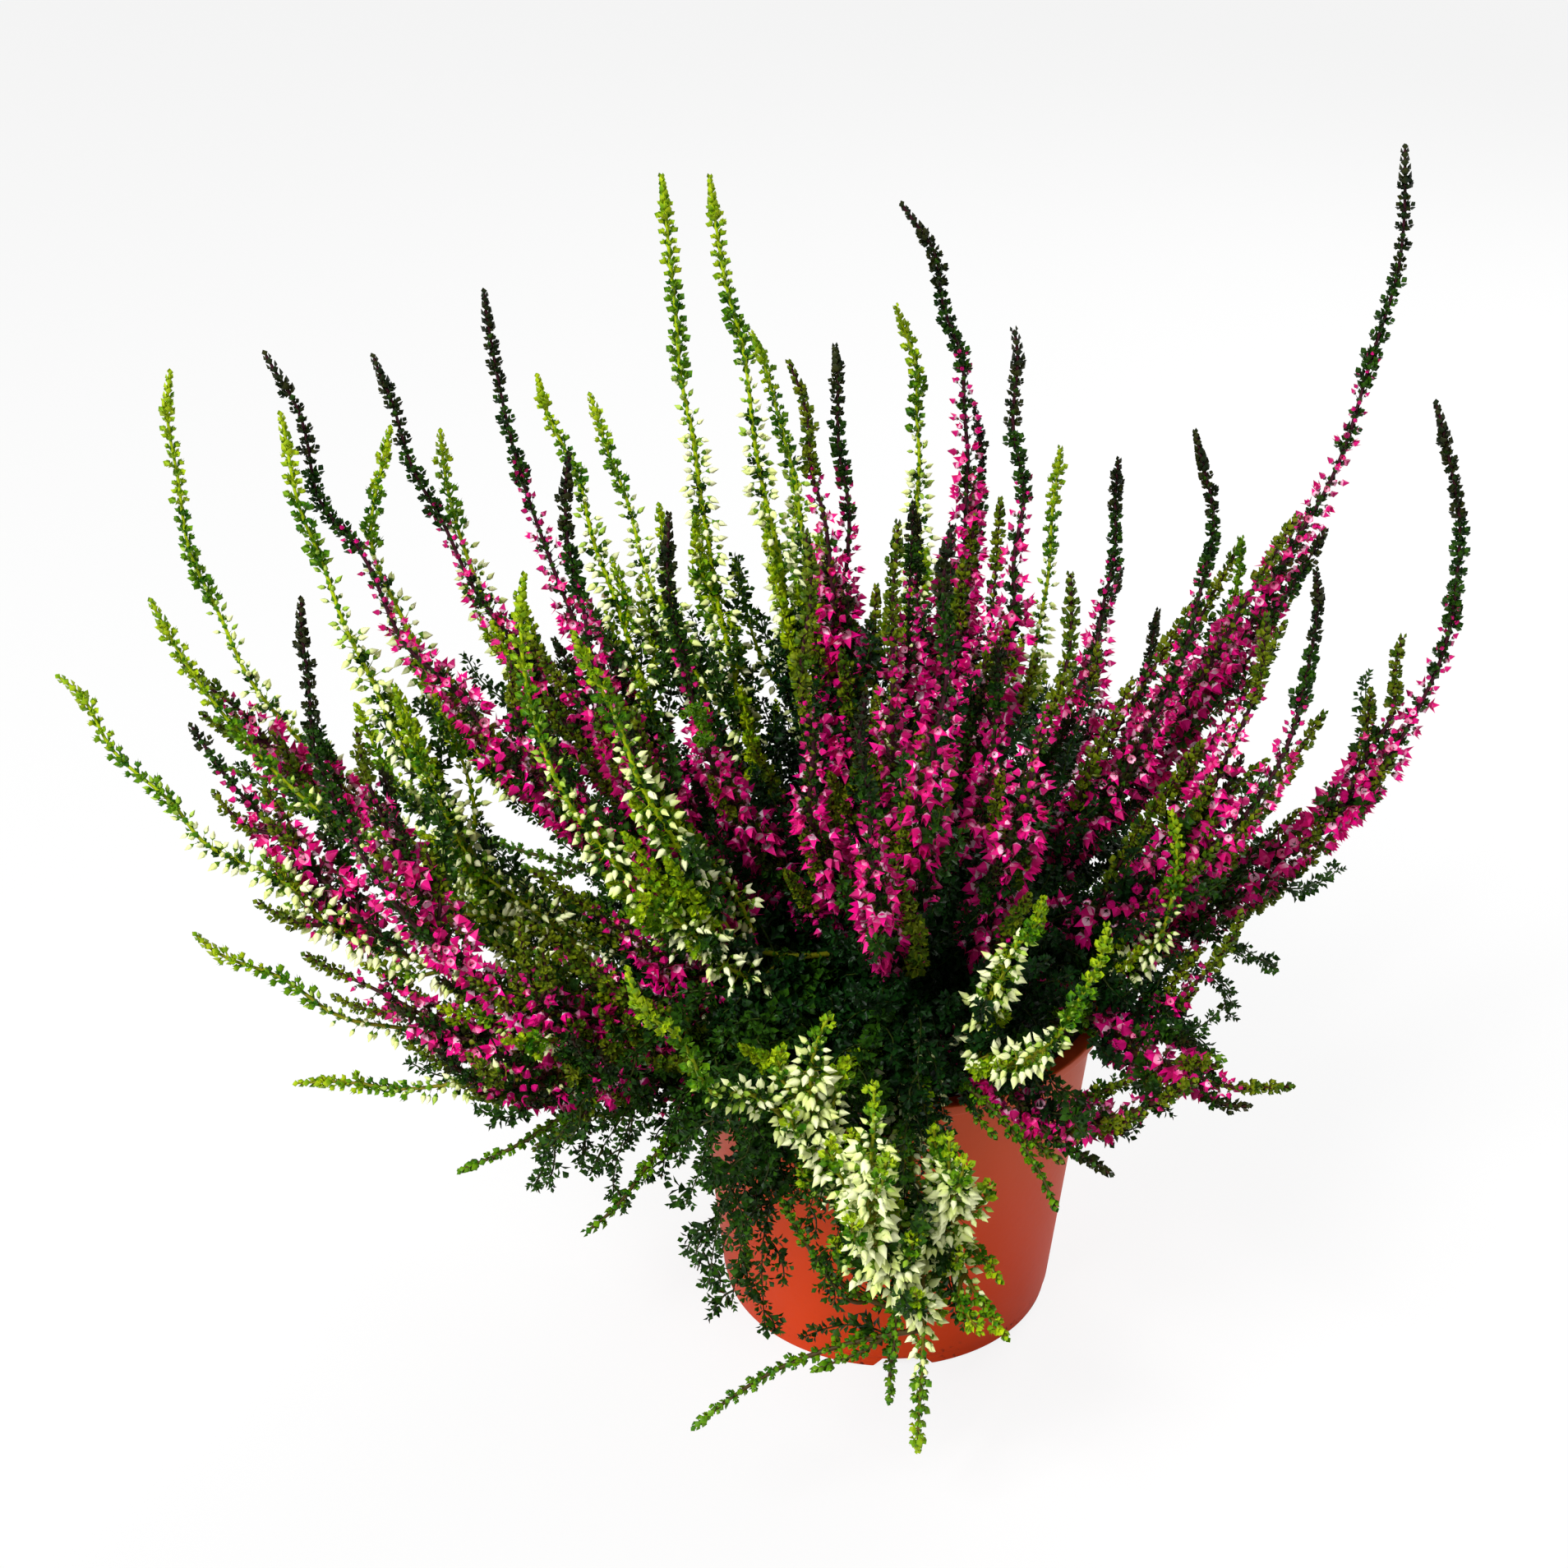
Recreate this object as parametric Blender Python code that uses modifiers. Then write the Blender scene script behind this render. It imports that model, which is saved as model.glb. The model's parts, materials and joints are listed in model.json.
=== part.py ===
# A potted heather: a small bushy evergreen of many thin flowering shoots, in a 12 cm nursery pot.
# Short woody stems stand on the potting soil. Each carries two or three masses of shoots, in
# tiers that go from upright, over arching, to a skirt that lies out over the pot's rim.
# Units are metres, +Z is up, and the origin is the middle of the pot's underside. Bearings are
# degrees from +X towards +Y, so the front of the plant is at 270, and leans are degrees from upright.
import random
from math import ceil, cos, pi, radians, sin

import bmesh
import bpy
import numpy as np
from mathutils import Matrix, Vector

MM = 0.001
GAP = 0.3 * MM
WELD = 0.01 * MM

# Pot
BASE_R = 48.6 * MM
WALL_TOP_R = 58.4 * MM
LIP_R = 61.8 * MM
POT_H = 100 * MM
LIP_H = 3.5 * MM
LIP_STEP = 0.5 * MM
LIP_DRAFT = 0.3 * MM
WALL = 1.3 * MM
SEAM_H = 4.5 * MM
SEAM_STEP = 0.8 * MM
CHANNEL_H = 4.0 * MM
CHANNEL_IN_R = 30.5 * MM
CHANNEL_OUT_R = 43.8 * MM
CHANNEL_DRAFT = 0.6 * MM
FLOOR = 1.6 * MM
DRAINS = 8
DRAIN_R = 4.0 * MM
DRAIN_SIDES = 12
NOTCHES = 4
NOTCH_BEARING = -86
NOTCH_FOOT = 18 * MM
NOTCH_TOP = 12 * MM
NOTCH_H = 3.6 * MM
CUT_PAST = 3 * MM
TURNED_STEPS = 36

# Soil, a plug that fills the pot
SOIL_TOP = 92 * MM
SOIL_EDGE = 89 * MM
SOIL_FLAT_R = 40 * MM

# Woody stems, an outer and an inner ring: how many, ring radius, lean, height along the stem
OUTER_STEMS = (12, 22 * MM, 25, 42 * MM)
INNER_STEMS = (3, 8 * MM, 8, 50 * MM)
INNER_BEARING = 60
STEM_FLARE_R = 3.6 * MM
STEM_FOOT_R = 2.5 * MM
STEM_TIP_R = 1.3 * MM
STEM_FOOT_H = 3 * MM
STEM_JOINTS = (0.35, 0.7, 1)
# Where on its stem a tier of foliage starts, as a fraction of the stem's length
TIERS = {"upper": 1.0, "middle": 0.6, "skirt": 0.28}

# Shoots: radius of the woody foot, of the flowering stretch and of the tip, and number of steps
SHOOTS = {
    "leader": (0.85 * MM, 2.7 * MM, 1.2 * MM, 7),
    "second": (0.70 * MM, 2.4 * MM, 1.1 * MM, 5),
    "side": (0.60 * MM, 2.1 * MM, 1.0 * MM, 3),
}
WOODY_TO = 0.3
TAPER_FROM = 0.75
# Side shoots: how often along a longer shoot, between which fractions of it, and how they leave
SIDE_EVERY = 36 * MM
SIDE_FROM = 0.2
SIDE_TO = 0.72
SIDE_ANGLE = 38
SIDE_SHORTEST = 26 * MM
SIDE_LONGEST = 78 * MM
SIDE_SHARE = (0.5, 0.8)
SIDE_STRAY = 20
SIDE_TRIES = 4
SIDE_SPARE = 1 * MM
SHOOT_GAP = 0.9 * MM
SAMPLE = 2 * MM

# A leaf here stands for one tuft of flowers or scale leaves
LEAF_LENGTH = 11.5 * MM
LEAF_WIDTH = 5.2 * MM
LEAF_THICK = 2.8 * MM
LEAF_TIP_R = 0.4 * MM
LEAF_ANGLE = 42
LEAF_EVERY = {"leader": 35 * MM, "second": 36 * MM, "side": 38 * MM}
LEAF_FROM = 0.3
LEAF_TO = 0.93
LEAF_CHECKS = (0.3, 0.5, 0.95)
GOLDEN = 137.5
GROUND_CLEAR = 3 * MM

# The leading shoot of each mass: stem, tier, colour of its flowers, bearing at its start, how far
# the bearing swings by its tip, lean at its start and at its tip, and length in mm
LEADING = (
    ("000", "upper", "pink", 35, -52, 56, -5, 233),
    ("000", "middle", "pink", 357, -16, 89, -26, 225),
    ("000", "skirt", "pink", 340, 52, 74, 78, 90),
    ("030", "upper", "pink", 52, 19, 69, -9, 129),
    ("030", "middle", "pink", 45, 19, 100, 12, 122),
    ("030", "skirt", "green", 25, 41, 68, 112, 111),
    ("060", "upper", "white", 59, 16, 81, -6, 133),
    ("060", "middle", "pink", 60, 0, 96, 34, 142),
    ("060", "skirt", "green", 74, 0, 66, 118, 121),
    ("090", "upper", "white", 81, -23, 45, -30, 163),
    ("090", "middle", "pink", 74, -12, 93, -24, 173),
    ("090", "skirt", "white", 88, 0, 66, 110, 127),
    ("120", "upper", "white", 168, 0, 9, 10, 193),
    ("120", "middle", "white", 97, 0, 85, 8, 149),
    ("120", "skirt", "green", 110, 0, 66, 106, 122),
    ("150", "upper", "white", 161, 0, 14, 4, 196),
    ("150", "middle", "pink", 176, -31, 47, 5, 200),
    ("150", "skirt", "white", 130, 0, 66, 102, 129),
    ("180", "upper", "pink", 174, -13, 54, 14, 185),
    ("180", "middle", "white", 176, 0, 98, -10, 262),
    ("180", "skirt", "green", 158, 0, 66, 98, 135),
    ("210", "upper", "pink", 181, -13, 65, 11, 210),
    ("210", "middle", "white", 186, -3, 90, 19, 212),
    ("210", "skirt", "white", 212, -52, 85, 36, 233),
    ("240", "upper", "white", 221, -46, 74, -7, 162),
    ("240", "middle", "pink", 216, -45, 100, -10, 224),
    ("240", "skirt", "white", 226, -48, 80, 88, 156),
    ("270", "upper", "pink", 260, -3, 53, 12, 137),
    ("270", "middle", "white", 259, -45, 100, 18, 165),
    ("270", "skirt", "white", 270, 8, 62, 200, 146),
    ("300", "upper", "pink", 278, 16, 39, 9, 147),
    ("300", "middle", "white", 272, 40, 98, 5, 127),
    ("300", "skirt", "pink", 277, 46, 75, 112, 81),
    ("330", "upper", "pink", 333, 32, 74, -12, 147),
    ("330", "middle", "white", 338, -36, 100, -25, 94),
    ("330", "skirt", "green", 318, 30, 72, 106, 72),
    ("inner_060", "upper", "pink", 75, -52, 35, -30, 185),
    ("inner_060", "middle", "pink", 337, 57, 68, -16, 175),
    ("inner_180", "upper", "pink", 78, 32, 0, 16, 144),
    ("inner_180", "middle", "pink", 226, 5, 52, 0, 162),
    ("inner_300", "upper", "pink", 335, 4, 24, -11, 160),
    ("inner_300", "middle", "pink", 232, 40, 60, -8, 172),
    ("inner_300", "skirt", "pink", 258, 0, 36, -4, 164),
)

# Second shoots that branch low down from a leading shoot: its mass, the fraction of its length
# where they leave it, and then colour, bearing, swing, leans and length as above
BRANCHING = (
    ("210", "skirt", 0.15, "white", 203, -30, 100, 48, 141),
    ("210", "middle", 0.35, "white", 175, 2, 35, 7, 156),
    ("210", "upper", 0.30, "white", 159, 0, 74, -21, 128),
    ("180", "upper", 0.30, "white", 151, 0, 59, 0, 107),
    ("150", "middle", 0.25, "white", 153, 0, 18, 20, 121),
    ("150", "upper", 0.10, "white", 148, 0, 38, 14, 125),
    ("240", "upper", 0.15, "pink", 175, -16, 44, -6, 146),
    ("240", "upper", 0.20, "white", 219, 0, 30, 19, 111),
    ("inner_180", "upper", 0.15, "pink", 182, 0, 0, 14, 122),
    ("120", "upper", 0.10, "white", 92, 49, 0, 29, 129),
    ("270", "upper", 0.20, "pink", 295, 0, 24, -3, 127),
    ("300", "middle", 0.20, "white", 280, 10, 34, 34, 84),
    ("330", "skirt", 0.50, "pink", 335, 20, 84, 0, 60),
    ("270", "skirt", 0.52, "white", 200, 0, 66, -24, 76),
    ("270", "skirt", 0.60, "white", 290, 0, 42, -5, 55),
    ("270", "skirt", 0.66, "white", 235, 0, 50, -15, 85),
    ("270", "skirt", 0.70, "green", 170, 0, 80, 20, 50),
    ("270", "skirt", 0.72, "green", 186, -5, 92, 140, 66),
    ("240", "skirt", 0.15, "green", 261, 0, 72, 180, 75),
    ("240", "skirt", 0.30, "green", 262, -45, 98, 112, 66),
    ("240", "skirt", 0.45, "green", 228, -40, 100, 118, 52),
    ("000", "upper", 0.30, "green", 30, 0, 30, 0, 50),
    ("000", "middle", 0.42, "pink", 345, -10, 30, 0, 62),
    ("330", "upper", 0.20, "pink", 350, 10, 40, 0, 96),
)

COLOURS = {
    "terracotta plastic": ((0.56, 0.12, 0.03), 0.42),
    "peat": ((0.03, 0.018, 0.01), 0.95),
    "bark": ((0.12, 0.06, 0.035), 0.85),
    "pink": ((0.55, 0.02, 0.18), 0.6),
    "white": ((0.62, 0.66, 0.38), 0.6),
    "green": ((0.07, 0.17, 0.03), 0.6),
}


def clear_scene():
    for obj in list(bpy.data.objects):
        bpy.data.objects.remove(obj)


def new_collection(name):
    collection = bpy.data.collections.new(name)
    bpy.context.scene.collection.children.link(collection)
    return collection


def material(name):
    colour, roughness = COLOURS[name]
    made = bpy.data.materials.get(name)
    if made is None:
        made = bpy.data.materials.new(name)
        made.use_nodes = True
        shader = made.node_tree.nodes["Principled BSDF"]
        shader.inputs["Base Color"].default_value = (*colour, 1)
        shader.inputs["Roughness"].default_value = roughness
        shader.inputs["Metallic"].default_value = 0
        made.diffuse_color = (*colour, 1)
    return made


def add_object(name, data, collection, finish=None):
    obj = bpy.data.objects.new(name, data)
    collection.objects.link(obj)
    if finish:
        data.materials.clear()
        data.materials.append(material(finish))
    return obj


def evaluated_mesh(obj):
    graph = bpy.context.evaluated_depsgraph_get()
    return bpy.data.meshes.new_from_object(obj.evaluated_get(graph))


def turned(name, profile, finish):
    """A profile of (radius, height) points, down its outer side, turned about the Z axis."""
    mesh = bpy.data.meshes.new(name)
    edges = [(i, i + 1) for i in range(len(profile) - 1)]
    mesh.from_pydata([(r, 0, z) for r, z in profile], edges, [])
    obj = add_object(name, mesh, PLANT, finish)
    screw = obj.modifiers.new("turn", "SCREW")
    screw.steps = TURNED_STEPS
    screw.render_steps = TURNED_STEPS
    screw.use_merge_vertices = True
    screw.merge_threshold = WELD
    return obj


def add_cutter(form, name, collection):
    """Makes a hidden cutter of a bmesh and frees it."""
    mesh = bpy.data.meshes.new(name)
    form.to_mesh(mesh)
    form.free()
    cutter = add_object(name, mesh, collection)
    cutter.hide_render = True
    cutter.display_type = "WIRE"


def add_drain_cutter(bearing, collection):
    """A round bar down through the raised ring of the pot's floor."""
    form = bmesh.new()
    bmesh.ops.create_cone(
        form,
        segments=DRAIN_SIDES,
        radius1=DRAIN_R,
        radius2=DRAIN_R,
        depth=4 * CHANNEL_H,
        cap_ends=True,
    )
    middle_r = (CHANNEL_IN_R + CHANNEL_OUT_R) / 2
    place = Vector((middle_r * cos(bearing), middle_r * sin(bearing), CHANNEL_H))
    bmesh.ops.translate(form, verts=form.verts, vec=place)
    add_cutter(form, "drain_cutter", collection)


def add_notch_cutter(bearing, collection):
    """A wedge across the foot ring, wide at the ground and narrower above."""
    form = bmesh.new()
    bmesh.ops.create_cube(form, size=1)
    flare = (NOTCH_FOOT - NOTCH_TOP) / NOTCH_H
    for corner in form.verts:
        top = corner.co.z > 0
        width = NOTCH_TOP if top else NOTCH_FOOT + flare * CUT_PAST
        corner.co.x = CHANNEL_OUT_R - CUT_PAST if corner.co.x < 0 else BASE_R + CUT_PAST
        corner.co.y = width / 2 if corner.co.y > 0 else -width / 2
        corner.co.z = NOTCH_H if top else -CUT_PAST
    bmesh.ops.rotate(form, verts=form.verts, matrix=Matrix.Rotation(bearing, 3, "Z"))
    add_cutter(form, "notch_cutter", collection)


def inner_wall_r(height):
    """Radius of the pot's inner face at a height."""
    seam_r = BASE_R + SEAM_STEP
    share = (height - SEAM_H) / (POT_H - LIP_H - SEAM_H)
    return seam_r + share * (WALL_TOP_R - seam_r) - WALL


def make_pot():
    """The pot: a turned wall and floor, with a foot ring, a raised ring of drains and a lip."""
    floor_top = CHANNEL_H + FLOOR
    seam_r = BASE_R + SEAM_STEP
    lip_foot = POT_H - LIP_H
    profile = [
        (0, FLOOR),
        (CHANNEL_IN_R - FLOOR, FLOOR),
        (CHANNEL_IN_R - CHANNEL_DRAFT, floor_top),
        (inner_wall_r(floor_top), floor_top),
        (inner_wall_r(lip_foot), lip_foot),
        (WALL_TOP_R, POT_H),
        (LIP_R, POT_H),
        (LIP_R - LIP_DRAFT, lip_foot),
        (WALL_TOP_R, lip_foot - LIP_STEP),
        (seam_r, SEAM_H),
        (seam_r - SEAM_STEP / 2, SEAM_H - SEAM_STEP / 2),
        (BASE_R, 0),
        (CHANNEL_OUT_R, 0),
        (CHANNEL_OUT_R - CHANNEL_DRAFT, CHANNEL_H),
        (CHANNEL_IN_R, CHANNEL_H),
        (CHANNEL_IN_R - CHANNEL_DRAFT, 0),
        (0, 0),
    ]
    pot = turned("pot", profile, "terracotta plastic")
    holes = new_collection("pot_cutters")
    for i in range(DRAINS):
        add_drain_cutter(2 * pi * (i + 0.5) / DRAINS, holes)
    for i in range(NOTCHES):
        add_notch_cutter(radians(NOTCH_BEARING) + 2 * pi * i / NOTCHES, holes)
    bore = pot.modifiers.new("drains and notches", "BOOLEAN")
    bore.operation = "DIFFERENCE"
    bore.operand_type = "COLLECTION"
    bore.collection = holes


def make_soil():
    """The soil: a turned plug that fills the pot just clear of its wall and floor."""
    floor_top = CHANNEL_H + FLOOR + GAP
    profile = [
        (0, SOIL_TOP),
        (SOIL_FLAT_R, SOIL_TOP),
        (inner_wall_r(SOIL_EDGE) - GAP, SOIL_EDGE),
        (inner_wall_r(floor_top) - GAP, floor_top),
        (CHANNEL_IN_R - CHANNEL_DRAFT - GAP, floor_top),
        (CHANNEL_IN_R - FLOOR - 2 * GAP, FLOOR + GAP),
        (0, FLOOR + GAP),
    ]
    turned("soil", profile, "peat")


def three_sided_profile():
    """The guide curve that gives a twig its three sides."""
    data = bpy.data.curves.new("twig_section", "CURVE")
    spline = data.splines.new("POLY")
    spline.points.add(2)
    for i, point in enumerate(spline.points):
        point.co = (cos(2 * pi * i / 3), sin(2 * pi * i / 3), 0, 1)
    spline.use_cyclic_u = True
    guide = add_object("twig_section", data, CUTTERS)
    guide.hide_render = True
    guide.display_type = "WIRE"
    return guide


def limb_mesh(name, points, radii, section=None):
    """A tapering limb along points, round unless a section is given, as a closed mesh."""
    data = bpy.data.curves.new(name, "CURVE")
    data.dimensions = "3D"
    data.use_fill_caps = True
    if section:
        data.bevel_mode = "OBJECT"
        data.bevel_object = section
    else:
        data.bevel_depth = 1
        data.bevel_resolution = 1
    spline = data.splines.new("POLY")
    spline.points.add(len(points) - 1)
    for point, place, radius in zip(spline.points, points, radii):
        point.co = (*place, 1)
        point.radius = radius
    obj = add_object(name, data, CUTTERS)
    bpy.context.view_layer.update()
    mesh = evaluated_mesh(obj)
    bpy.data.objects.remove(obj)
    form = bmesh.new()
    form.from_mesh(mesh)
    bmesh.ops.remove_doubles(form, verts=form.verts, dist=WELD)
    bmesh.ops.recalc_face_normals(form, faces=form.faces)
    if form.calc_volume(signed=True) < 0:
        bmesh.ops.reverse_faces(form, faces=form.faces)
    form.to_mesh(mesh)
    form.free()
    return mesh


def heading(bearing, lean):
    bearing, lean = radians(bearing), radians(lean)
    return Vector((sin(lean) * cos(bearing), sin(lean) * sin(bearing), cos(lean)))


def arc_path(kind, start, bearing, swing, lean, tip_lean, length):
    """Points along a shoot whose bearing and lean change evenly from its foot to its tip."""
    steps = SHOOTS[kind][3]
    points = [Vector(start)]
    for i in range(steps):
        t = (i + 0.5) / steps
        step = heading(bearing + swing * t, lean + (tip_lean - lean) * t)
        points.append(points[-1] + step * (length * MM / steps))
    return points


def along(points, t):
    """The place and direction at a fraction of a path of even steps."""
    at = min(t, 0.9999) * (len(points) - 1)
    i = int(at)
    way = points[i + 1] - points[i]
    return points[i] + way * (at - i), way.normalized()


def spindle(t, foot, middle, tip):
    """Radius of a shoot at a fraction of its length: woody, then in flower, then its tip."""
    if t < WOODY_TO:
        return foot + (middle - foot) * (t / WOODY_TO) ** 2
    if t < TAPER_FROM:
        return middle
    return middle + (tip - middle) * (t - TAPER_FROM) / (1 - TAPER_FROM)


class Space:
    """Where limbs and leaves already are, as rows of small balls, each with its owner."""

    def __init__(self):
        self.places = np.zeros((0, 3))
        self.radii = np.zeros(0)
        self.owners = np.zeros(0, int)

    def balls(self, points, radii):
        places, sizes = [], []
        for a, b, ra, rb in zip(points, points[1:], radii, radii[1:]):
            count = max(1, ceil((b - a).length / SAMPLE))
            for i in range(count):
                t = i / count
                places.append(a + (b - a) * t)
                sizes.append(ra + (rb - ra) * t)
        places.append(points[-1])
        sizes.append(radii[-1])
        return np.array(places), np.array(sizes)

    def free(self, points, radii, own):
        """True where the limb stays clear of the ground, the pot, the soil and every other owner."""
        places, sizes = self.balls(points, radii)
        far = np.hypot(places[:, 0], places[:, 1]) - sizes
        low = places[:, 2] - sizes
        over_pot = (far < LIP_R + SHOOT_GAP) & (low < POT_H + SHOOT_GAP)
        over_soil = (far < SOIL_FLAT_R) & (low > SOIL_TOP + SHOOT_GAP)
        if (low < GROUND_CLEAR).any() or (over_pot & ~over_soil).any():
            return False
        others = ~np.isin(self.owners, own)
        gaps = np.linalg.norm(places[:, None] - self.places[others][None], axis=2)
        gaps -= sizes[:, None] + self.radii[others][None]
        return gaps.size == 0 or gaps.min() > SHOOT_GAP

    def take(self, points, radii, owner):
        places, sizes = self.balls(points, radii)
        self.places = np.vstack([self.places, places])
        self.radii = np.concatenate([self.radii, sizes])
        self.owners = np.concatenate([self.owners, np.full(len(sizes), owner)])


class Shoot:
    """One shoot: its kind, its path, its radii, its own number, and that with its parent's."""

    count = 0

    def __init__(self, kind, points, parent=None):
        Shoot.count += 1
        self.kind = kind
        self.number = Shoot.count
        self.family = [self.number] + ([parent.number] if parent else [])
        self.points = points
        foot, middle, tip, steps = SHOOTS[kind]
        self.radii = [spindle(i / steps, foot, middle, tip) for i in range(steps + 1)]
        self.length = sum((b - a).length for a, b in zip(points, points[1:]))


def stem_rows():
    """Name, foot, bearing, lean and length of each woody stem."""
    rows = []
    for ring, (count, ring_r, lean, length) in (("", OUTER_STEMS), ("inner_", INNER_STEMS)):
        for i in range(count):
            bearing = 360 * i // count + (INNER_BEARING if ring else 0)
            foot = heading(bearing, 90) * ring_r
            foot.z = SOIL_TOP + GAP
            rows.append((f"{ring}{bearing:03d}", foot, bearing, lean, length))
    return rows


def stem_limb(foot, bearing, lean, length):
    """The stem's points and radii: a flared foot, cut flat, and a taper to its tip."""
    neck = foot + Vector((0, 0, STEM_FOOT_H))
    axis = heading(bearing, lean)
    rest = length - STEM_FOOT_H
    points = [foot, neck] + [neck + axis * rest * t for t in STEM_JOINTS]
    radii = [STEM_FLARE_R, STEM_FOOT_R]
    radii += [STEM_FOOT_R + (STEM_TIP_R - STEM_FOOT_R) * t for t in STEM_JOINTS]
    return points, radii


def shoot_start(stem, tier, bearing, lean, radius):
    """Where a mass begins: just clear of the stem's tip, or of its side lower down."""
    points, radii = stem
    axis = (points[-1] - points[1]).normalized()
    way = heading(bearing, lean)
    if TIERS[tier] == 1:
        out, place, clear = axis, points[-1], 0
    else:
        level = heading(bearing, 90)
        out = (level - axis * level.dot(axis)).normalized()
        place = points[1] + (points[-1] - points[1]) * TIERS[tier]
        clear = radii[1] + (radii[-1] - radii[1]) * TIERS[tier]
    tilt = way.angle(out)
    return place + out * (clear + GAP + radius * sin(tilt))


def grow_side_shoots(parent, draw):
    """Side shoots spaced up a longer shoot, each turning back to run beside it."""
    grown = []
    count = round(parent.length * (SIDE_TO - SIDE_FROM) / SIDE_EVERY)
    for i in range(count):
        t = SIDE_FROM + (SIDE_TO - SIDE_FROM) * (i + draw.uniform(0.2, 0.8)) / count
        length = (1 - t) * parent.length * draw.uniform(*SIDE_SHARE)
        length = min(max(length, SIDE_SHORTEST), SIDE_LONGEST)
        foot, way = along(parent.points, t)
        ahead = along(parent.points, min(1, t + length / parent.length))[1]
        for attempt in range(SIDE_TRIES):
            turn = radians(GOLDEN * (i + 1) + 90 * attempt + draw.uniform(-SIDE_STRAY, SIDE_STRAY))
            side = Matrix.Rotation(turn, 3, way) @ way.orthogonal().normalized()
            points = [foot]
            steps = SHOOTS["side"][3]
            for k in range(steps):
                bend = 1 - (k + 0.5) / steps
                step = ahead + side * bend * 2 * sin(radians(SIDE_ANGLE))
                points.append(points[-1] + step.normalized() * (length / steps))
            shoot = Shoot("side", points, parent)
            spare = [radius + SIDE_SPARE for radius in shoot.radii[1:]]
            if SPACE.free(points[1:], spare, shoot.family):
                SPACE.take(points, shoot.radii, shoot.number)
                grown.append(shoot)
                break
    return grown


def leaf_mesh(foot, way, across):
    """One leaf of eight faces, from its foot along its direction."""
    form = bmesh.new()
    bmesh.ops.create_uvsphere(form, u_segments=4, v_segments=2, radius=0.5)
    bmesh.ops.scale(form, verts=form.verts, vec=(LEAF_WIDTH, LEAF_THICK, LEAF_LENGTH))
    thick = way.cross(across).normalized()
    turn = Matrix((across.normalized(), thick, way)).transposed()
    bmesh.ops.rotate(form, verts=form.verts, matrix=turn)
    bmesh.ops.translate(form, verts=form.verts, vec=foot + way * LEAF_LENGTH / 2)
    bmesh.ops.recalc_face_normals(form, faces=form.faces)
    mesh = bpy.data.meshes.new("leaf")
    form.to_mesh(mesh)
    form.free()
    return mesh


def grow_leaves(shoot, draw):
    """Leaves set round a shoot at the golden angle, leaving out any that would touch."""
    meshes = []
    count = max(1, round(shoot.length / LEAF_EVERY[shoot.kind]))
    start = draw.uniform(0, 360)
    for i in range(count):
        t = LEAF_FROM + (LEAF_TO - LEAF_FROM) * (i + 0.5) / count
        place, way = along(shoot.points, t)
        turn = radians(start + GOLDEN * i)
        side = Matrix.Rotation(turn, 3, way) @ way.orthogonal().normalized()
        out = way * cos(radians(LEAF_ANGLE)) + side * sin(radians(LEAF_ANGLE))
        half = LEAF_WIDTH / 2
        points = [place + out * LEAF_LENGTH * f for f in LEAF_CHECKS]
        radii = [half, half, LEAF_TIP_R]
        if SPACE.free(points, radii, [shoot.number]):
            SPACE.take(points, radii, shoot.number)
            meshes.append(leaf_mesh(place, out, way.cross(out)))
    return meshes


def largest_body(mesh):
    """Drops loose scraps: only the body with the most faces stays."""
    form = bmesh.new()
    form.from_mesh(mesh)
    left = set(form.faces)
    bodies = []
    while left:
        stack = [left.pop()]
        body = []
        while stack:
            face = stack.pop()
            body.append(face)
            for edge in face.edges:
                for other in edge.link_faces:
                    if other in left:
                        left.remove(other)
                        stack.append(other)
        bodies.append(body)
    bodies.sort(key=len)
    scraps = [face for body in bodies[:-1] for face in body]
    bmesh.ops.delete(form, geom=scraps, context="FACES")
    form.to_mesh(mesh)
    form.free()


def join_mass(name, shoots, leaves, finish):
    """Joins a mass's shoots and leaves into one closed solid."""
    parts = new_collection("joining")
    twigs = [limb_mesh("twig", shoot.points, shoot.radii, SECTION) for shoot in shoots]
    base = add_object("leading_twig", twigs[0], CUTTERS)
    for mesh in twigs[1:]:
        add_object("twig", mesh, parts)
    for mesh in leaves:
        add_object("leaf", mesh, parts)
    join = base.modifiers.new("join", "BOOLEAN")
    join.operation = "UNION"
    join.operand_type = "COLLECTION"
    join.collection = parts
    join.solver = "EXACT"
    bpy.context.view_layer.update()
    mesh = evaluated_mesh(base)
    for obj in list(parts.objects) + [base]:
        bpy.data.objects.remove(obj)
    bpy.data.collections.remove(parts)
    largest_body(mesh)
    mesh.name = name
    return add_object(name, mesh, PLANT, finish)


def make_stems():
    """The woody stems, as name to (points, radii)."""
    stems = {}
    for name, foot, bearing, lean, length in stem_rows():
        points, radii = stem_limb(foot, bearing, lean, length)
        stems[name] = (points, radii)
        add_object("stem_" + name, limb_mesh("stem", points, radii), PLANT, "bark")
        Shoot.count += 1
        SPACE.take(points, radii, Shoot.count)
    return stems


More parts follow.
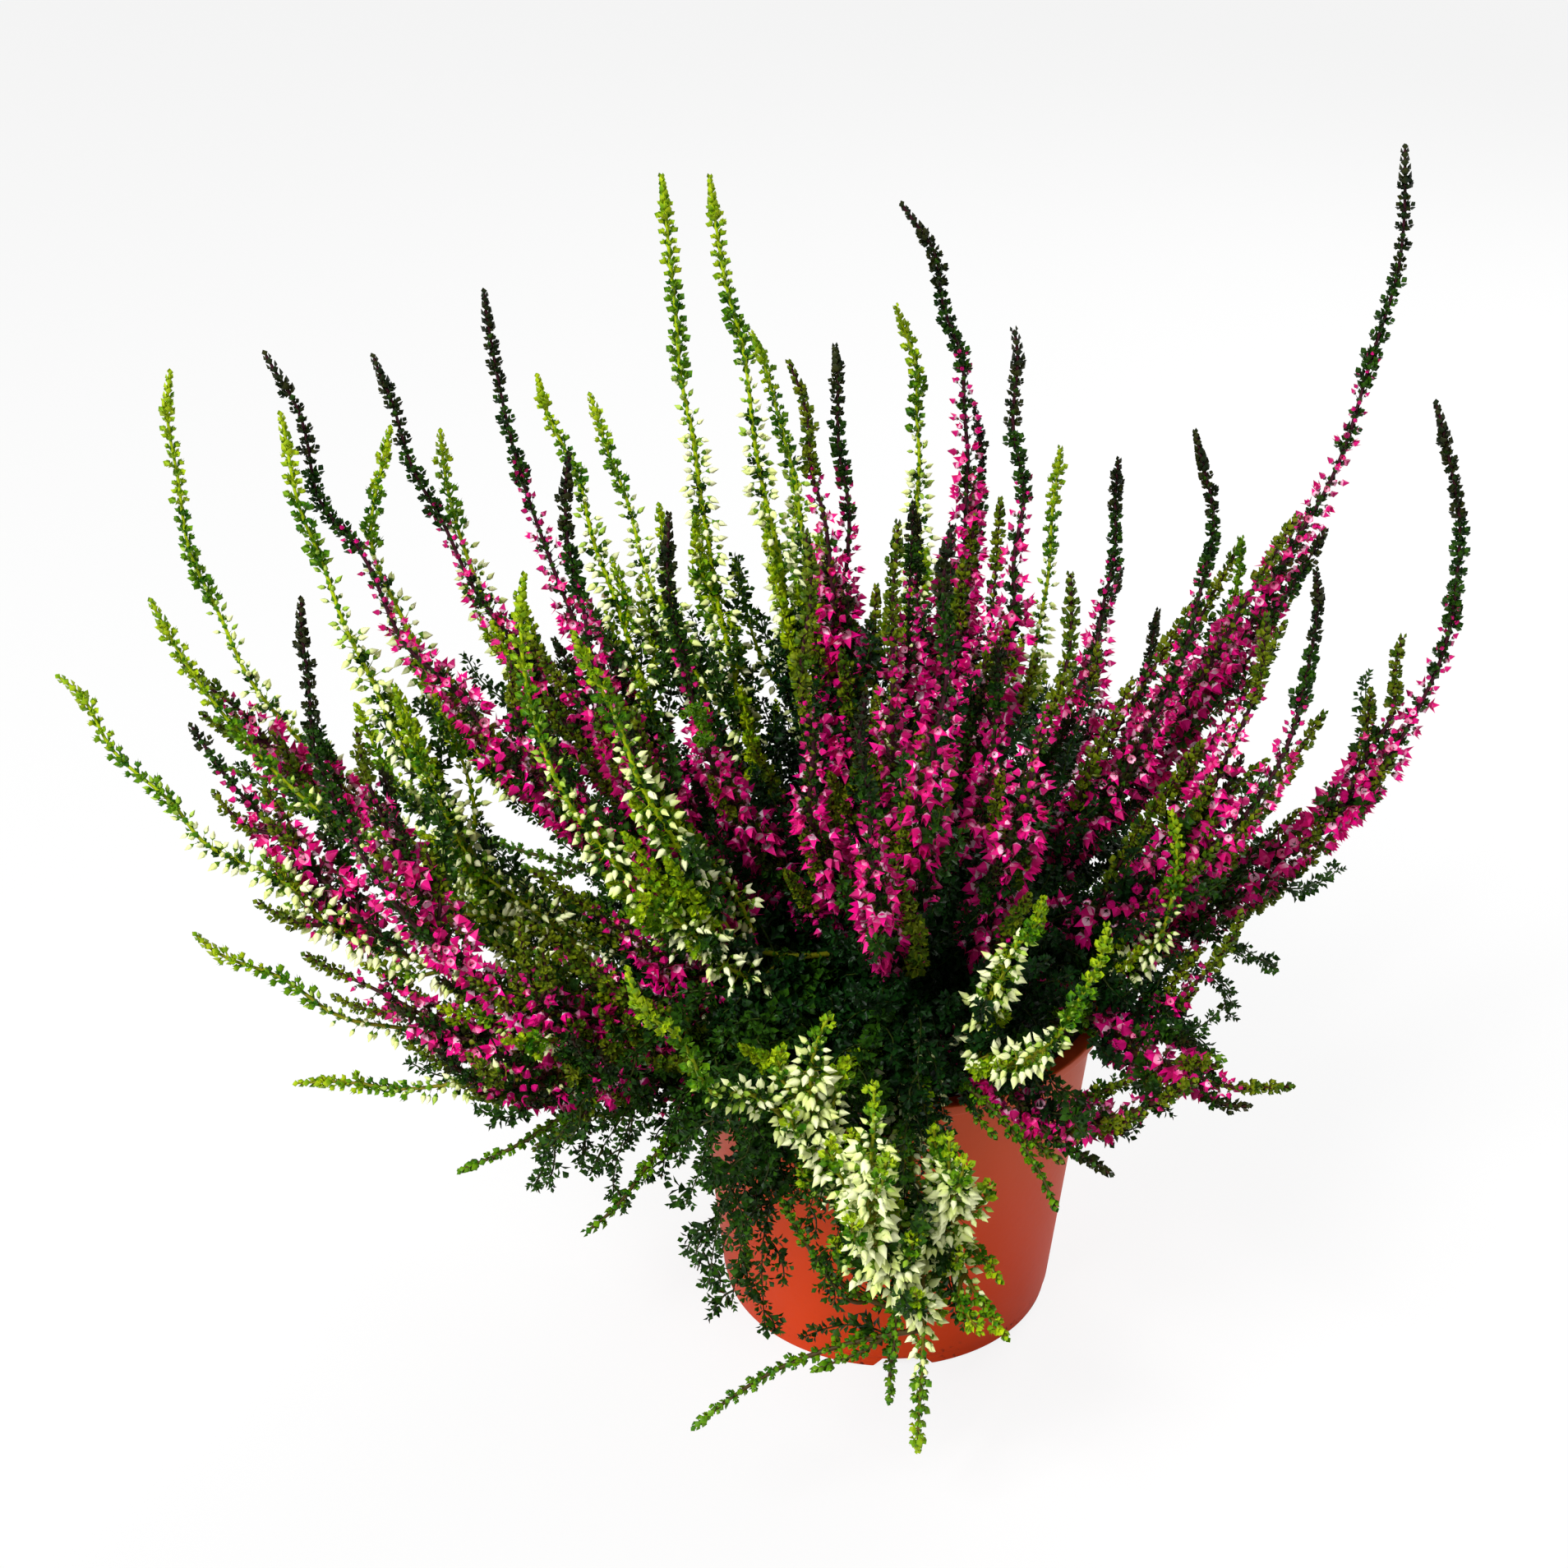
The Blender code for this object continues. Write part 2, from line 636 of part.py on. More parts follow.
def make_masses(stems):
    """The masses of foliage: long shoots first, then side shoots, then leaves, then the joining."""
    masses = []
    for stem, tier, colour, bearing, swing, lean, tip_lean, length in LEADING:
        start = shoot_start(stems[stem], tier, bearing, lean, SHOOTS["leader"][0])
        path = arc_path("leader", start, bearing, swing, lean, tip_lean, length)
        leader = Shoot("leader", path)
        SPACE.take(path, leader.radii, leader.number)
        masses.append((stem, tier, colour, [leader]))
    for stem, tier, fraction, colour, bearing, swing, lean, tip_lean, length in BRANCHING:
        shoots = next(m[3] for m in masses if m[:2] == (stem, tier))
        start = along(shoots[0].points, fraction)[0]
        path = arc_path("second", start, bearing, swing, lean, tip_lean, length)
        second = Shoot("second", path, shoots[0])
        SPACE.take(path, second.radii, second.number)
        shoots.append(second)
    draws = [random.Random(number) for number in range(len(masses))]
    for draw, (stem, tier, colour, shoots) in zip(draws, masses):
        for parent in list(shoots):
            shoots += grow_side_shoots(parent, draw)
    for draw, (stem, tier, colour, shoots) in zip(draws, masses):
        leaves = [mesh for shoot in shoots for mesh in grow_leaves(shoot, draw)]
        join_mass(f"foliage_{stem}_{tier}", shoots, leaves, colour)


clear_scene()
PLANT = new_collection("potted_heather")
CUTTERS = new_collection("cutters")
SECTION = three_sided_profile()
SPACE = Space()
make_pot()
make_soil()
make_masses(make_stems())
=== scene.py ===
# A potted heather: many thin flowering shoots of a pink and a white kind that share one pot.
import json
import random
from math import acos, atan2, cos, degrees, pi, radians, sin

import bmesh
import bpy
import numpy as np
from mathutils import Matrix, Vector

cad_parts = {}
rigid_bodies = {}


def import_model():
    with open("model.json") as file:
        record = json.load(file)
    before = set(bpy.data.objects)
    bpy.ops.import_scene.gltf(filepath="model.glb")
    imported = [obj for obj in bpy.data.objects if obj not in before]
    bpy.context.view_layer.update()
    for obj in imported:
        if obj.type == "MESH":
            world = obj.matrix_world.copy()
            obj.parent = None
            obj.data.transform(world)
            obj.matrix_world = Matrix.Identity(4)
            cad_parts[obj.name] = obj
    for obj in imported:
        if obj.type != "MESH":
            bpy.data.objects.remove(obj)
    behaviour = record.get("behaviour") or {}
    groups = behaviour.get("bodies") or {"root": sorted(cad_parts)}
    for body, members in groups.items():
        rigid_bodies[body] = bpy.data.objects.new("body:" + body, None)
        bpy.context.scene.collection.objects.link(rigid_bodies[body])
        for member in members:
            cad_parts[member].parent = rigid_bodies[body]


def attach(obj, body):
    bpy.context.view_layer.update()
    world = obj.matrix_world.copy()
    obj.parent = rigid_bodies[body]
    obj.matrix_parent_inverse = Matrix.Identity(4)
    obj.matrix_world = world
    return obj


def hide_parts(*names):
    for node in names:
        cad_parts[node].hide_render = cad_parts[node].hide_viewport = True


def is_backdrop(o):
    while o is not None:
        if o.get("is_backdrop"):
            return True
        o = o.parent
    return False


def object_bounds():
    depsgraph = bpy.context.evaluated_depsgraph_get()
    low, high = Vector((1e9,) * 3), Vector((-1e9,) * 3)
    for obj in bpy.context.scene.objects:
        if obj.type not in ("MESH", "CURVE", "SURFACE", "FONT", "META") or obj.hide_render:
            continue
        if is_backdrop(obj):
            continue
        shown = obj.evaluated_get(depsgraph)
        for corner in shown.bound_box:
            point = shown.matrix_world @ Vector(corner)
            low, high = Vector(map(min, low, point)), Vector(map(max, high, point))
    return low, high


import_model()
CAD_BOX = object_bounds()

# Pot
# A thin nursery pot, injection moulded in terracotta-coloured plastic with a satin skin. It has a
# rolled lip, a seam above the foot, drain holes in a raised ring and four slots through the foot.
MM = 0.001
POT_H = 100 * MM
BASE_R = 48.6 * MM
WALL_TOP_R = 58.4 * MM
LIP_R = 61.8 * MM
LIP_H = 3.5 * MM
LIP_ROUND = 0.6 * MM
LIP_ROUND_STEPS = 5
WALL = 1.3 * MM
SEAM_H = 4.5 * MM
SEAM_STEP = 0.8 * MM
CHANNEL_H = 4.0 * MM
CHANNEL_IN_R = 30.5 * MM
CHANNEL_OUT_R = 43.8 * MM
CHANNEL_DRAFT = 0.6 * MM
FLOOR = 1.6 * MM
DRAINS = 8
DRAIN_R = 4.0 * MM
DRAIN_SIDES = 32
NOTCHES = 4
NOTCH_BEARING = -86
NOTCH_FOOT = 18 * MM
NOTCH_TOP = 12 * MM
NOTCH_H = 3.6 * MM
CUT_PAST = 3 * MM
POT_STEPS = 160
POINTS_MERGE = 0.01 * MM
SMOOTH_TO = radians(35)
# Grain of the soft patches, and the heights over which the plastic turns paler: a painted sheen towards the
# lip.
PATCH_GRAIN = 60 * MM
SHEEN_OVER = (50 * MM, 130 * MM)
PATCH_ROUGHER = 0.1
SPLASH_GRAIN = 9 * MM
SPLASH_OVER = (0.45, 0.65)
DUST_GRAIN = 1.6 * MM
DUST_OVER = (0.56, 0.68)
DUST_LOW = 0.9
DUST_HIGH = 0.04
DUST_ROUGHER = 0.4
PLASTIC_ROUGH = 0.34
DUST_BAND = (2 * MM, SEAM_H + 4 * MM)
SKIN_GRAIN = 2.2 * MM
SKIN_DEPTH = 0.05 * MM


def paint(red, green, blue):
    """A colour as the eye sees it, from 0 to 255, as the linear values that a shader takes."""
    steps = [step / 255 for step in (red, green, blue)]
    return (*(s / 12.92 if s < 0.04 else ((s + 0.055) / 1.055) ** 2.4 for s in steps), 1)


class Wire:
    """One output socket of a finish, with sums that become Math nodes."""

    def __init__(self, finish, socket):
        self.finish = finish
        self.socket = socket

    def sum(self, operation, first, second):
        return self.finish.node("ShaderNodeMath", {"operation": operation}, {0: first, 1: second})

    def __add__(self, other):
        return self.sum("ADD", self, other)

    def __sub__(self, other):
        return self.sum("SUBTRACT", self, other)

    def __rsub__(self, other):
        return self.sum("SUBTRACT", other, self)

    def __mul__(self, other):
        return self.sum("MULTIPLY", self, other)

    __radd__ = __add__
    __rmul__ = __mul__


class Finish:
    """A material in the making: its nodes and the shader that they feed."""

    def __init__(self, name, **sockets):
        self.material = bpy.data.materials.new(name)
        self.material.use_nodes = True
        self.nodes = self.material.node_tree.nodes
        self.shader = self.nodes["Principled BSDF"]
        self.where = self.node("ShaderNodeTexCoord", {}, {}, "Object")
        self.set(**sockets)

    def feed(self, socket, value):
        if isinstance(value, Wire):
            self.material.node_tree.links.new(value.socket, socket)
        else:
            socket.default_value = value

    def set(self, **sockets):
        """Gives the shader's own sockets these values or wires."""
        for name, value in sockets.items():
            self.feed(self.shader.inputs[name.replace("_", " ")], value)

    def node(self, kind, settings, sockets, output=0):
        made = self.nodes.new(kind)
        for setting, value in settings.items():
            setattr(made, setting, value)
        for socket, value in sockets.items():
            self.feed(made.inputs[socket], value)
        return Wire(self, made.outputs[output])

    def height(self):
        """How high a point is, in metres."""
        return self.node("ShaderNodeSeparateXYZ", {}, {0: self.where}, 2)

    def noise(self, grain, detail=2):
        """Soft noise from 0 to 1 with blotches of about one grain, in metres."""
        sockets = {"Vector": self.where, "Scale": 1 / grain, "Detail": detail}
        return self.node("ShaderNodeTexNoise", {}, sockets)

    def step(self, value, low, high):
        """0 below low, 1 above high, and smooth between them."""
        sockets = {"Value": value, "From Min": low, "From Max": high}
        return self.node("ShaderNodeMapRange", {"interpolation_type": "SMOOTHSTEP"}, sockets)

    def blotches(self, grain, detail, low, high):
        """Blotches of about one grain: 1 where the noise is over high, and 0 where it is under low."""
        return self.step(self.noise(grain, detail), low, high)

    def mix(self, factor, first, second):
        return self.node("ShaderNodeMix", {"data_type": "RGBA"}, {0: factor, 6: first, 7: second}, 2)

    def relief(self, height, depth):
        """Bumps of this depth, in metres, where height goes from 0 to 1."""
        self.set(Normal=self.node("ShaderNodeBump", {}, {"Height": height, "Distance": depth}))


def add_piece(name, mesh, finish, slot, nodes=()):
    """Puts a mesh in the scene as a piece of the plant, in place of these nodes."""
    piece = bpy.data.objects.new(name, mesh)
    bpy.context.scene.collection.objects.link(piece)
    mesh.materials.clear()
    mesh.materials.append(finish.material)
    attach(piece, "root")
    if nodes:
        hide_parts(*nodes)


def inner_wall_r(height):
    """Radius of the pot's inner face at a height."""
    seam_r = BASE_R + SEAM_STEP
    share = (height - SEAM_H) / (POT_H - LIP_H - SEAM_H)
    return seam_r + share * (WALL_TOP_R - seam_r) - WALL


def rounded(centre_r, centre_h, start, end):
    """Points round a small corner of the pot's profile."""
    turns = np.radians(np.linspace(start, end, LIP_ROUND_STEPS + 1))
    return [(centre_r + LIP_ROUND * cos(a), centre_h + LIP_ROUND * sin(a)) for a in turns]


def pot_profile():
    """The pot's section as (radius, height), from the inner floor up, over the lip and down."""
    floor_top = CHANNEL_H + FLOOR
    lip_foot = POT_H - LIP_H
    seam_r = BASE_R + SEAM_STEP
    lip_in_r = WALL_TOP_R - WALL + LIP_ROUND
    lip_out_r = LIP_R - LIP_ROUND
    inner = [(0, FLOOR), (CHANNEL_IN_R - FLOOR, FLOOR), (CHANNEL_IN_R - CHANNEL_DRAFT, floor_top)]
    inner += [(inner_wall_r(floor_top), floor_top), (inner_wall_r(lip_foot), lip_foot)]
    lip = rounded(lip_in_r, POT_H - LIP_ROUND, 180, 90) + rounded(lip_out_r, POT_H - LIP_ROUND, 90, 0)
    lip += rounded(lip_out_r - CHANNEL_DRAFT / 2, lip_foot + LIP_ROUND, 0, -90)
    outer = [(WALL_TOP_R + LIP_ROUND, lip_foot), (WALL_TOP_R, lip_foot - LIP_ROUND)]
    outer += [(seam_r, SEAM_H), (seam_r - SEAM_STEP / 2, SEAM_H - SEAM_STEP / 2)]
    foot = [(BASE_R, LIP_ROUND), (BASE_R - LIP_ROUND, 0), (CHANNEL_OUT_R, 0)]
    foot += [(CHANNEL_OUT_R - CHANNEL_DRAFT, CHANNEL_H), (CHANNEL_IN_R, CHANNEL_H)]
    return inner + lip + outer + foot + [(CHANNEL_IN_R - CHANNEL_DRAFT, 0), (0, 0)]


def add_cutter(form, collection):
    """Puts a form among the shapes that are cut from the pot."""
    mesh = bpy.data.meshes.new("cutter")
    form.to_mesh(mesh)
    form.free()
    collection.objects.link(bpy.data.objects.new("cutter", mesh))


def add_drain_cutter(bearing, collection):
    """A round bar down through the raised ring of the floor."""
    form = bmesh.new()
    sizes = {"radius1": DRAIN_R, "radius2": DRAIN_R, "depth": 4 * CHANNEL_H}
    bmesh.ops.create_cone(form, segments=DRAIN_SIDES, cap_ends=True, **sizes)
    middle_r = (CHANNEL_IN_R + CHANNEL_OUT_R) / 2
    place = Vector((middle_r * cos(bearing), middle_r * sin(bearing), CHANNEL_H))
    bmesh.ops.translate(form, verts=form.verts, vec=place)
    add_cutter(form, collection)


def add_notch_cutter(bearing, collection):
    """A wedge across the foot ring, wide at the ground and narrower above."""
    form = bmesh.new()
    bmesh.ops.create_cube(form, size=1)
    flare = (NOTCH_FOOT - NOTCH_TOP) / NOTCH_H
    for corner in form.verts:
        top = corner.co.z > 0
        width = NOTCH_TOP if top else NOTCH_FOOT + flare * CUT_PAST
        corner.co.x = CHANNEL_OUT_R - CUT_PAST if corner.co.x < 0 else BASE_R + CUT_PAST
        corner.co.y = width / 2 if corner.co.y > 0 else -width / 2
        corner.co.z = NOTCH_H if top else -CUT_PAST
    bmesh.ops.rotate(form, verts=form.verts, matrix=Matrix.Rotation(bearing, 3, "Z"))
    add_cutter(form, collection)


def pot_mesh():
    """The profile turned about the pot's axis, less its drain holes and foot slots."""
    profile = pot_profile()
    outline = bpy.data.meshes.new("outline")
    edges = [(i, i + 1) for i in range(len(profile) - 1)]
    outline.from_pydata([(r, 0, z) for r, z in profile], edges, [])
    blank = bpy.data.objects.new("blank", outline)
    cutters = bpy.data.collections.new("cutters")
    bpy.context.scene.collection.children.link(cutters)
    bpy.context.scene.collection.objects.link(blank)
    for i in range(DRAINS):
        add_drain_cutter(2 * pi * (i + 0.5) / DRAINS, cutters)
    for i in range(NOTCHES):
        add_notch_cutter(radians(NOTCH_BEARING) + 2 * pi * i / NOTCHES, cutters)
    turn = blank.modifiers.new("turn", "SCREW")
    turn.steps = turn.render_steps = POT_STEPS
    turn.use_merge_vertices = True
    turn.merge_threshold = POINTS_MERGE
    bore = blank.modifiers.new("bore", "BOOLEAN")
    bore.operation = "DIFFERENCE"
    bore.operand_type = "COLLECTION"
    bore.collection = cutters
    graph = bpy.context.evaluated_depsgraph_get()
    mesh = bpy.data.meshes.new_from_object(blank.evaluated_get(graph))
    for helper in list(cutters.objects) + [blank]:
        bpy.data.objects.remove(helper)
    bpy.data.collections.remove(cutters)
    mesh.shade_smooth()
    mesh.set_sharp_from_angle(angle=SMOOTH_TO)
    return mesh


def pot_finish():
    """Satin plastic: orange, with a painted sheen that makes it paler and pinker towards the lip, its edge
    broken into soft patches, and with peat dust by the seam.
    """
    finish = Finish("moulded terracotta plastic", Specular_IOR_Level=0.15)
    height = finish.height()
    patches = finish.noise(PATCH_GRAIN)
    grit = finish.blotches(DUST_GRAIN, 3, *DUST_OVER)
    low = 1 - finish.step(height, *DUST_BAND)
    dust = grit * finish.blotches(SPLASH_GRAIN, 3, *SPLASH_OVER) * (low * DUST_LOW + DUST_HIGH)
    # Paler, pinker plastic higher up, its edge broken by soft patches: a painted sheen.
    pale_sheen = finish.step(height + patches * SHEEN_OVER[0], *SHEEN_OVER)
    plastic = finish.mix(pale_sheen, paint(204, 58, 0), paint(192, 74, 28))
    finish.set(Base_Color=finish.mix(dust, plastic, paint(40, 24, 16)))
    finish.set(Roughness=PLASTIC_ROUGH + patches * PATCH_ROUGHER + dust * DUST_ROUGHER)
    finish.relief(finish.noise(SKIN_GRAIN), SKIN_DEPTH)
    return finish


add_piece("pot", pot_mesh(), pot_finish(), "pot_plastic", ["pot"])

# Soil
# Moist dark peat, pressed into the pot and level some 8 mm under the lip, with loose crumbs on
# top. It fills the pot down to its floor, so it also shows through the drain holes.
SOIL_TOP = 92 * MM
SOIL_EDGE = 89 * MM
SOIL_FLAT_R = 40 * MM
SOIL_GAP = 0.3 * MM
SOIL_STEPS = 144
SOIL_RINGS = 26
SOIL_ROUGH = 1.1 * MM
SOIL_LUMPS = 5 * MM
SOIL_GRIT = 2 * MM
SOIL_SLOPE = 10 * MM
SOIL_FIRST_RING = 0.02
SOIL_LAST_R = 0.5 * MM
CRUMBS = 900
CRUMB_SIZES = (1.2 * MM, 3.4 * MM)
CRUMB_LIGHT = 1.15
PEAT_DAMP = (34, 22, 15)
PEAT_DRY = (64, 42, 28)
FIBRE_GRAIN = 1.1 * MM
FIBRES_OVER = (0.5, 0.72)
FIBRE_SHARE = 0.5
DAMP_GRAIN = 7 * MM
DRY_OVER = (0.4, 0.65)
PEAT_GRAIN = 0.9 * MM
PEAT_DEPTH = 0.5 * MM


def mesh_from(name, points, faces):
    """A mesh from an array of points and one of faces that all have the same number of corners."""
    mesh = bpy.data.meshes.new(name)
    mesh.vertices.add(len(points))
    mesh.vertices.foreach_set("co", np.asarray(points, np.float32).ravel())
    mesh.loops.add(faces.size)
    mesh.loops.foreach_set("vertex_index", np.asarray(faces, np.int32).ravel())
    mesh.polygons.add(len(faces))
    mesh.polygons.foreach_set("loop_start", np.arange(0, faces.size, faces.shape[1], dtype=np.int32))
    mesh.update(calc_edges=True)
    mesh.validate()
    return mesh


def grid_faces(rows, columns):
    """Four-cornered faces between rows of points that run round a closed ring."""
    row, column = np.meshgrid(np.arange(rows - 1), np.arange(columns), indexing="ij")
    after = (column + 1) % columns
    low, high = row * columns, (row + 1) * columns
    corners = np.stack([low + column, low + after, high + after, high + column], axis=-1)
    return corners.reshape(-1, 4)


def unit(vectors):
    return vectors / np.linalg.norm(vectors, axis=-1, keepdims=True)


def about_axis(radii, turns, heights):
    """Points at these radii, turns and heights about the upright axis."""
    return np.stack(np.broadcast_arrays(radii * np.cos(turns), radii * np.sin(turns), heights), axis=-1)


def waves(points, size, draw, count=24):
    """Smooth random relief from about -1 to 1, as a sum of waves no shorter than size."""
    total = np.zeros(len(points))
    for _ in range(count):
        way = unit(draw.normal(size=3))
        total += np.sin(points @ way * 2 * pi / (size * draw.uniform(1, 4)) + draw.uniform(0, 2 * pi))
    return total / np.sqrt(count / 2) / 2


def soil_mesh(draw):
    """The plug of peat: a rough top, a side just inside the pot, and a bottom over its floor."""
    floor_top = CHANNEL_H + FLOOR + SOIL_GAP
    edge_r = inner_wall_r(SOIL_EDGE) - SOIL_GAP
    radii = np.linspace(SOIL_FIRST_RING, 1, SOIL_RINGS) * edge_r
    falls = np.clip((radii - SOIL_FLAT_R) / (edge_r - SOIL_FLAT_R), 0, 1)
    heights = SOIL_TOP + (SOIL_EDGE - SOIL_TOP) * falls
    below = [(inner_wall_r(floor_top) - SOIL_GAP, floor_top)]
    below += [(CHANNEL_IN_R - CHANNEL_DRAFT - SOIL_GAP, floor_top)]
    below += [(CHANNEL_IN_R - FLOOR - 2 * SOIL_GAP, FLOOR + SOIL_GAP), (SOIL_LAST_R, FLOOR + SOIL_GAP)]
    rings = np.vstack([np.stack([radii, heights], axis=1), below])
    turn = np.arange(SOIL_STEPS) * 2 * pi / SOIL_STEPS
    points = about_axis(rings[:, :1], turn, rings[:, 1:])
    top = points[:SOIL_RINGS].reshape(-1, 3)
    top[:, 2] += SOIL_ROUGH * (waves(top, SOIL_LUMPS, draw) + 0.5 * waves(top, SOIL_GRIT, draw))
    points[:SOIL_RINGS] = top.reshape(SOIL_RINGS, SOIL_STEPS, 3)
    return mesh_from("soil", points.reshape(-1, 3), grid_faces(len(rings), SOIL_STEPS)[:, ::-1])


class Template:
    """The shape of one small thing, to be set many times: 1 long along z, its outer side to y."""

    def __init__(self, points, faces):
        self.points = np.array(points, float)
        self.faces = np.array(faces)

    def set_at(self, places, ways, outers, sizes):
        """Points and faces of all the copies: each has a place, its z and y directions and a size."""
        turns = np.stack([np.cross(outers, ways), outers, ways], axis=2)
        points = np.einsum("nij,kj->nki", turns, self.points) * np.reshape(sizes, (-1, 1, 1))
        points += places[:, None]
        steps = np.arange(len(places))[:, None, None] * len(self.points)
        return points.reshape(-1, 3), (self.faces[None] + steps).reshape(-1, self.faces.shape[1])


CRUMB = Template(
    [(0, 0, 0.5), (0.45, 0, 0.1), (0, 0.4, 0), (-0.5, 0.05, 0.05), (0.05, -0.45, -0.05), (0, 0, -0.4)],
    [(0, 1, 2), (0, 2, 3), (0, 3, 4), (0, 4, 1), (5, 2, 1), (5, 3, 2), (5, 4, 3), (5, 1, 4)],
)


def crumbs_mesh(draw):
    """Loose crumbs of peat that lie half sunk in the top of the soil."""
    radii = (inner_wall_r(SOIL_EDGE) - CRUMB_SIZES[1]) * np.sqrt(draw.uniform(0, 1, CRUMBS))
    turn = draw.uniform(0, 2 * pi, CRUMBS)
    sizes = draw.uniform(*CRUMB_SIZES, CRUMBS)
    falls = np.clip((radii - SOIL_FLAT_R) / SOIL_SLOPE, 0, 1)
    places = about_axis(radii, turn, SOIL_TOP - (SOIL_TOP - SOIL_EDGE) * falls)
    ways, others = (unit(draw.normal(size=(CRUMBS, 3))) for _ in range(2))
    outers = unit(np.cross(ways, others))
    return mesh_from("soil_crumbs", *CRUMB.set_at(places, ways, outers, sizes))


def peat_finish(name, light):
    """Dark fibrous peat, mottled, with paler dry fibres."""
    finish = Finish(name, Roughness=0.95)
    damp, dry = (paint(*(light * tone for tone in tones)) for tones in (PEAT_DAMP, PEAT_DRY))
    peat = finish.mix(finish.blotches(DAMP_GRAIN, 3, *DRY_OVER), damp, dry)
    fibres = finish.blotches(FIBRE_GRAIN, 4, *FIBRES_OVER)
    finish.set(Base_Color=finish.mix(fibres * FIBRE_SHARE, peat, paint(122, 88, 58)))
    finish.relief(finish.noise(PEAT_GRAIN, 4), PEAT_DEPTH)
    return finish


soil_draw = np.random.default_rng(11)
soil = soil_mesh(soil_draw)
soil.shade_smooth()
add_piece("soil", soil, peat_finish("moist peat", 1), "soil", ["soil"])
add_piece("soil_crumbs", crumbs_mesh(soil_draw), peat_finish("peat crumbs", CRUMB_LIGHT), "soil")

# Woody stems
# Short old stems that fork low over the soil, an outer ring that leans out and three inner ones.
# Their bark is brown and flaking, in long ridges, with a flare where each one enters the soil.
OUTER_STEMS = (12, 22 * MM, 25, 42 * MM)
INNER_STEMS = (3, 8 * MM, 8, 50 * MM)
INNER_BEARING = 60
STEM_FLARE_R = 3.6 * MM
STEM_FOOT_R = 2.5 * MM
STEM_TIP_R = 1.3 * MM
STEM_FOOT_H = 3 * MM
STEM_BEND = 0.8
STEM_SIDES = 18
STEM_RINGS = 34
BARK_DEPTH = 0.32 * MM
BARK_RIDGES = (3, 5, 7)
BARK_TWIST = 5
FLARE_PART = 0.12
PLATE_GRAIN = 1.4 * MM
PLATE_DEPTH = 0.35 * MM
PLATES_OVER = (0.4, 0.62)


def heading(bearing, lean):
    """The direction that leans this far from upright, towards a bearing, in degrees."""
    bearing, lean = np.radians(bearing), np.radians(lean)
    return np.stack([np.sin(lean) * np.cos(bearing), np.sin(lean) * np.sin(bearing), np.cos(lean)], -1)


class Path:
    """A line of even steps, with the direction and two cross directions at each point."""

    def __init__(self, points):
        self.points = points
        steps = np.diff(points, axis=0)
        self.length = np.linalg.norm(steps, axis=1).sum()
        steps = unit(steps)
        self.ways = unit(np.vstack([steps[:1], steps[:-1] + steps[1:], steps[-1:]]))
        side = np.cross(self.ways[0], (0.3, 0.5, 0.81))
        sides = []
        for way in self.ways:
            side = side - way * (side @ way)
            side = side / np.linalg.norm(side)
            sides.append(side)
        self.sides = np.array(sides)
        self.crosses = np.cross(self.ways, self.sides)

    def at(self, distances):
        """Place, direction and the two cross directions at these distances from the foot."""
        last = len(self.points) - 1
        at = np.clip(np.asarray(distances, float) / self.length, 0, 1) * last
        i = np.minimum(at.astype(int), last - 1)
        f = (at - i)[..., None]
        rows = (self.points, self.ways, self.sides, self.crosses)
        place, way, side, cross = (row[i] * (1 - f) + row[i + 1] * f for row in rows)
        return place, unit(way), unit(side), unit(cross)

    def tube(self, radii, sides):
        """Points and faces of a limb with this radius at each point and this many sides."""
        turn = np.arange(sides) * 2 * pi / sides
        out = self.sides[:, None] * np.cos(turn)[:, None] + self.crosses[:, None] * np.sin(turn)[:, None]
        points = self.points[:, None] + out * np.reshape(radii, (len(self.points), -1, 1))
        return points.reshape(-1, 3), grid_faces(len(self.points), sides)


def stem_rows():
    """Name, foot, bearing, lean and length of each woody stem."""
    rows = []
    for ring, (count, ring_r, lean, length) in (("", OUTER_STEMS), ("inner_", INNER_STEMS)):
        for i in range(count):
            bearing = 360 * i // count + (INNER_BEARING if ring else 0)
            foot = heading(bearing, 90) * ring_r + (0, 0, SOIL_TOP + SOIL_GAP)
            rows.append((f"{ring}{bearing:03d}", foot, bearing, lean, length))
    return rows


def joined(parts):
    """One array of points and one of faces from several of each."""
    points, faces, total = [], [], 0
    for some_points, some_faces in parts:
        points.append(some_points)
        faces.append(some_faces + total)
        total += len(some_points)
    return np.concatenate(points), np.concatenate(faces)


def stem_tube(foot, bearing, lean, length, draw):
    """A stem with a flared foot, a taper and ridged, flaking bark."""
    neck = foot + (0, 0, STEM_FOOT_H)
    tip = neck + heading(bearing, lean) * (length - STEM_FOOT_H)
    t = np.linspace(0, 1, STEM_RINGS)[:, None]
    bend = neck * STEM_BEND + foot * (1 - STEM_BEND)
    line = foot * (1 - t) ** 2 + 2 * bend * t * (1 - t) + tip * t**2
    line[0] = foot
    path = Path(line)
    t = t[:, 0]
    radii = STEM_FOOT_R + (STEM_TIP_R - STEM_FOOT_R) * t
    radii += (STEM_FLARE_R - STEM_FOOT_R) * np.clip(1 - t / FLARE_PART, 0, 1) ** 2
    turn = np.arange(STEM_SIDES) * 2 * pi / STEM_SIDES
    ridges = np.zeros((STEM_RINGS, STEM_SIDES))
    for count in BARK_RIDGES:
        ridges += np.sin(count * turn[None] + BARK_TWIST * t[:, None] + draw.uniform(0, 2 * pi)) / 2
    flakes = draw.uniform(-1, 1, (STEM_RINGS, STEM_SIDES))
    rough = BARK_DEPTH * (0.5 * ridges + 0.5 * flakes) * (1 - 0.5 * t[:, None])
    rough[0] = np.minimum(rough[0], 0)
    return path.tube(radii[:, None] + rough, STEM_SIDES)


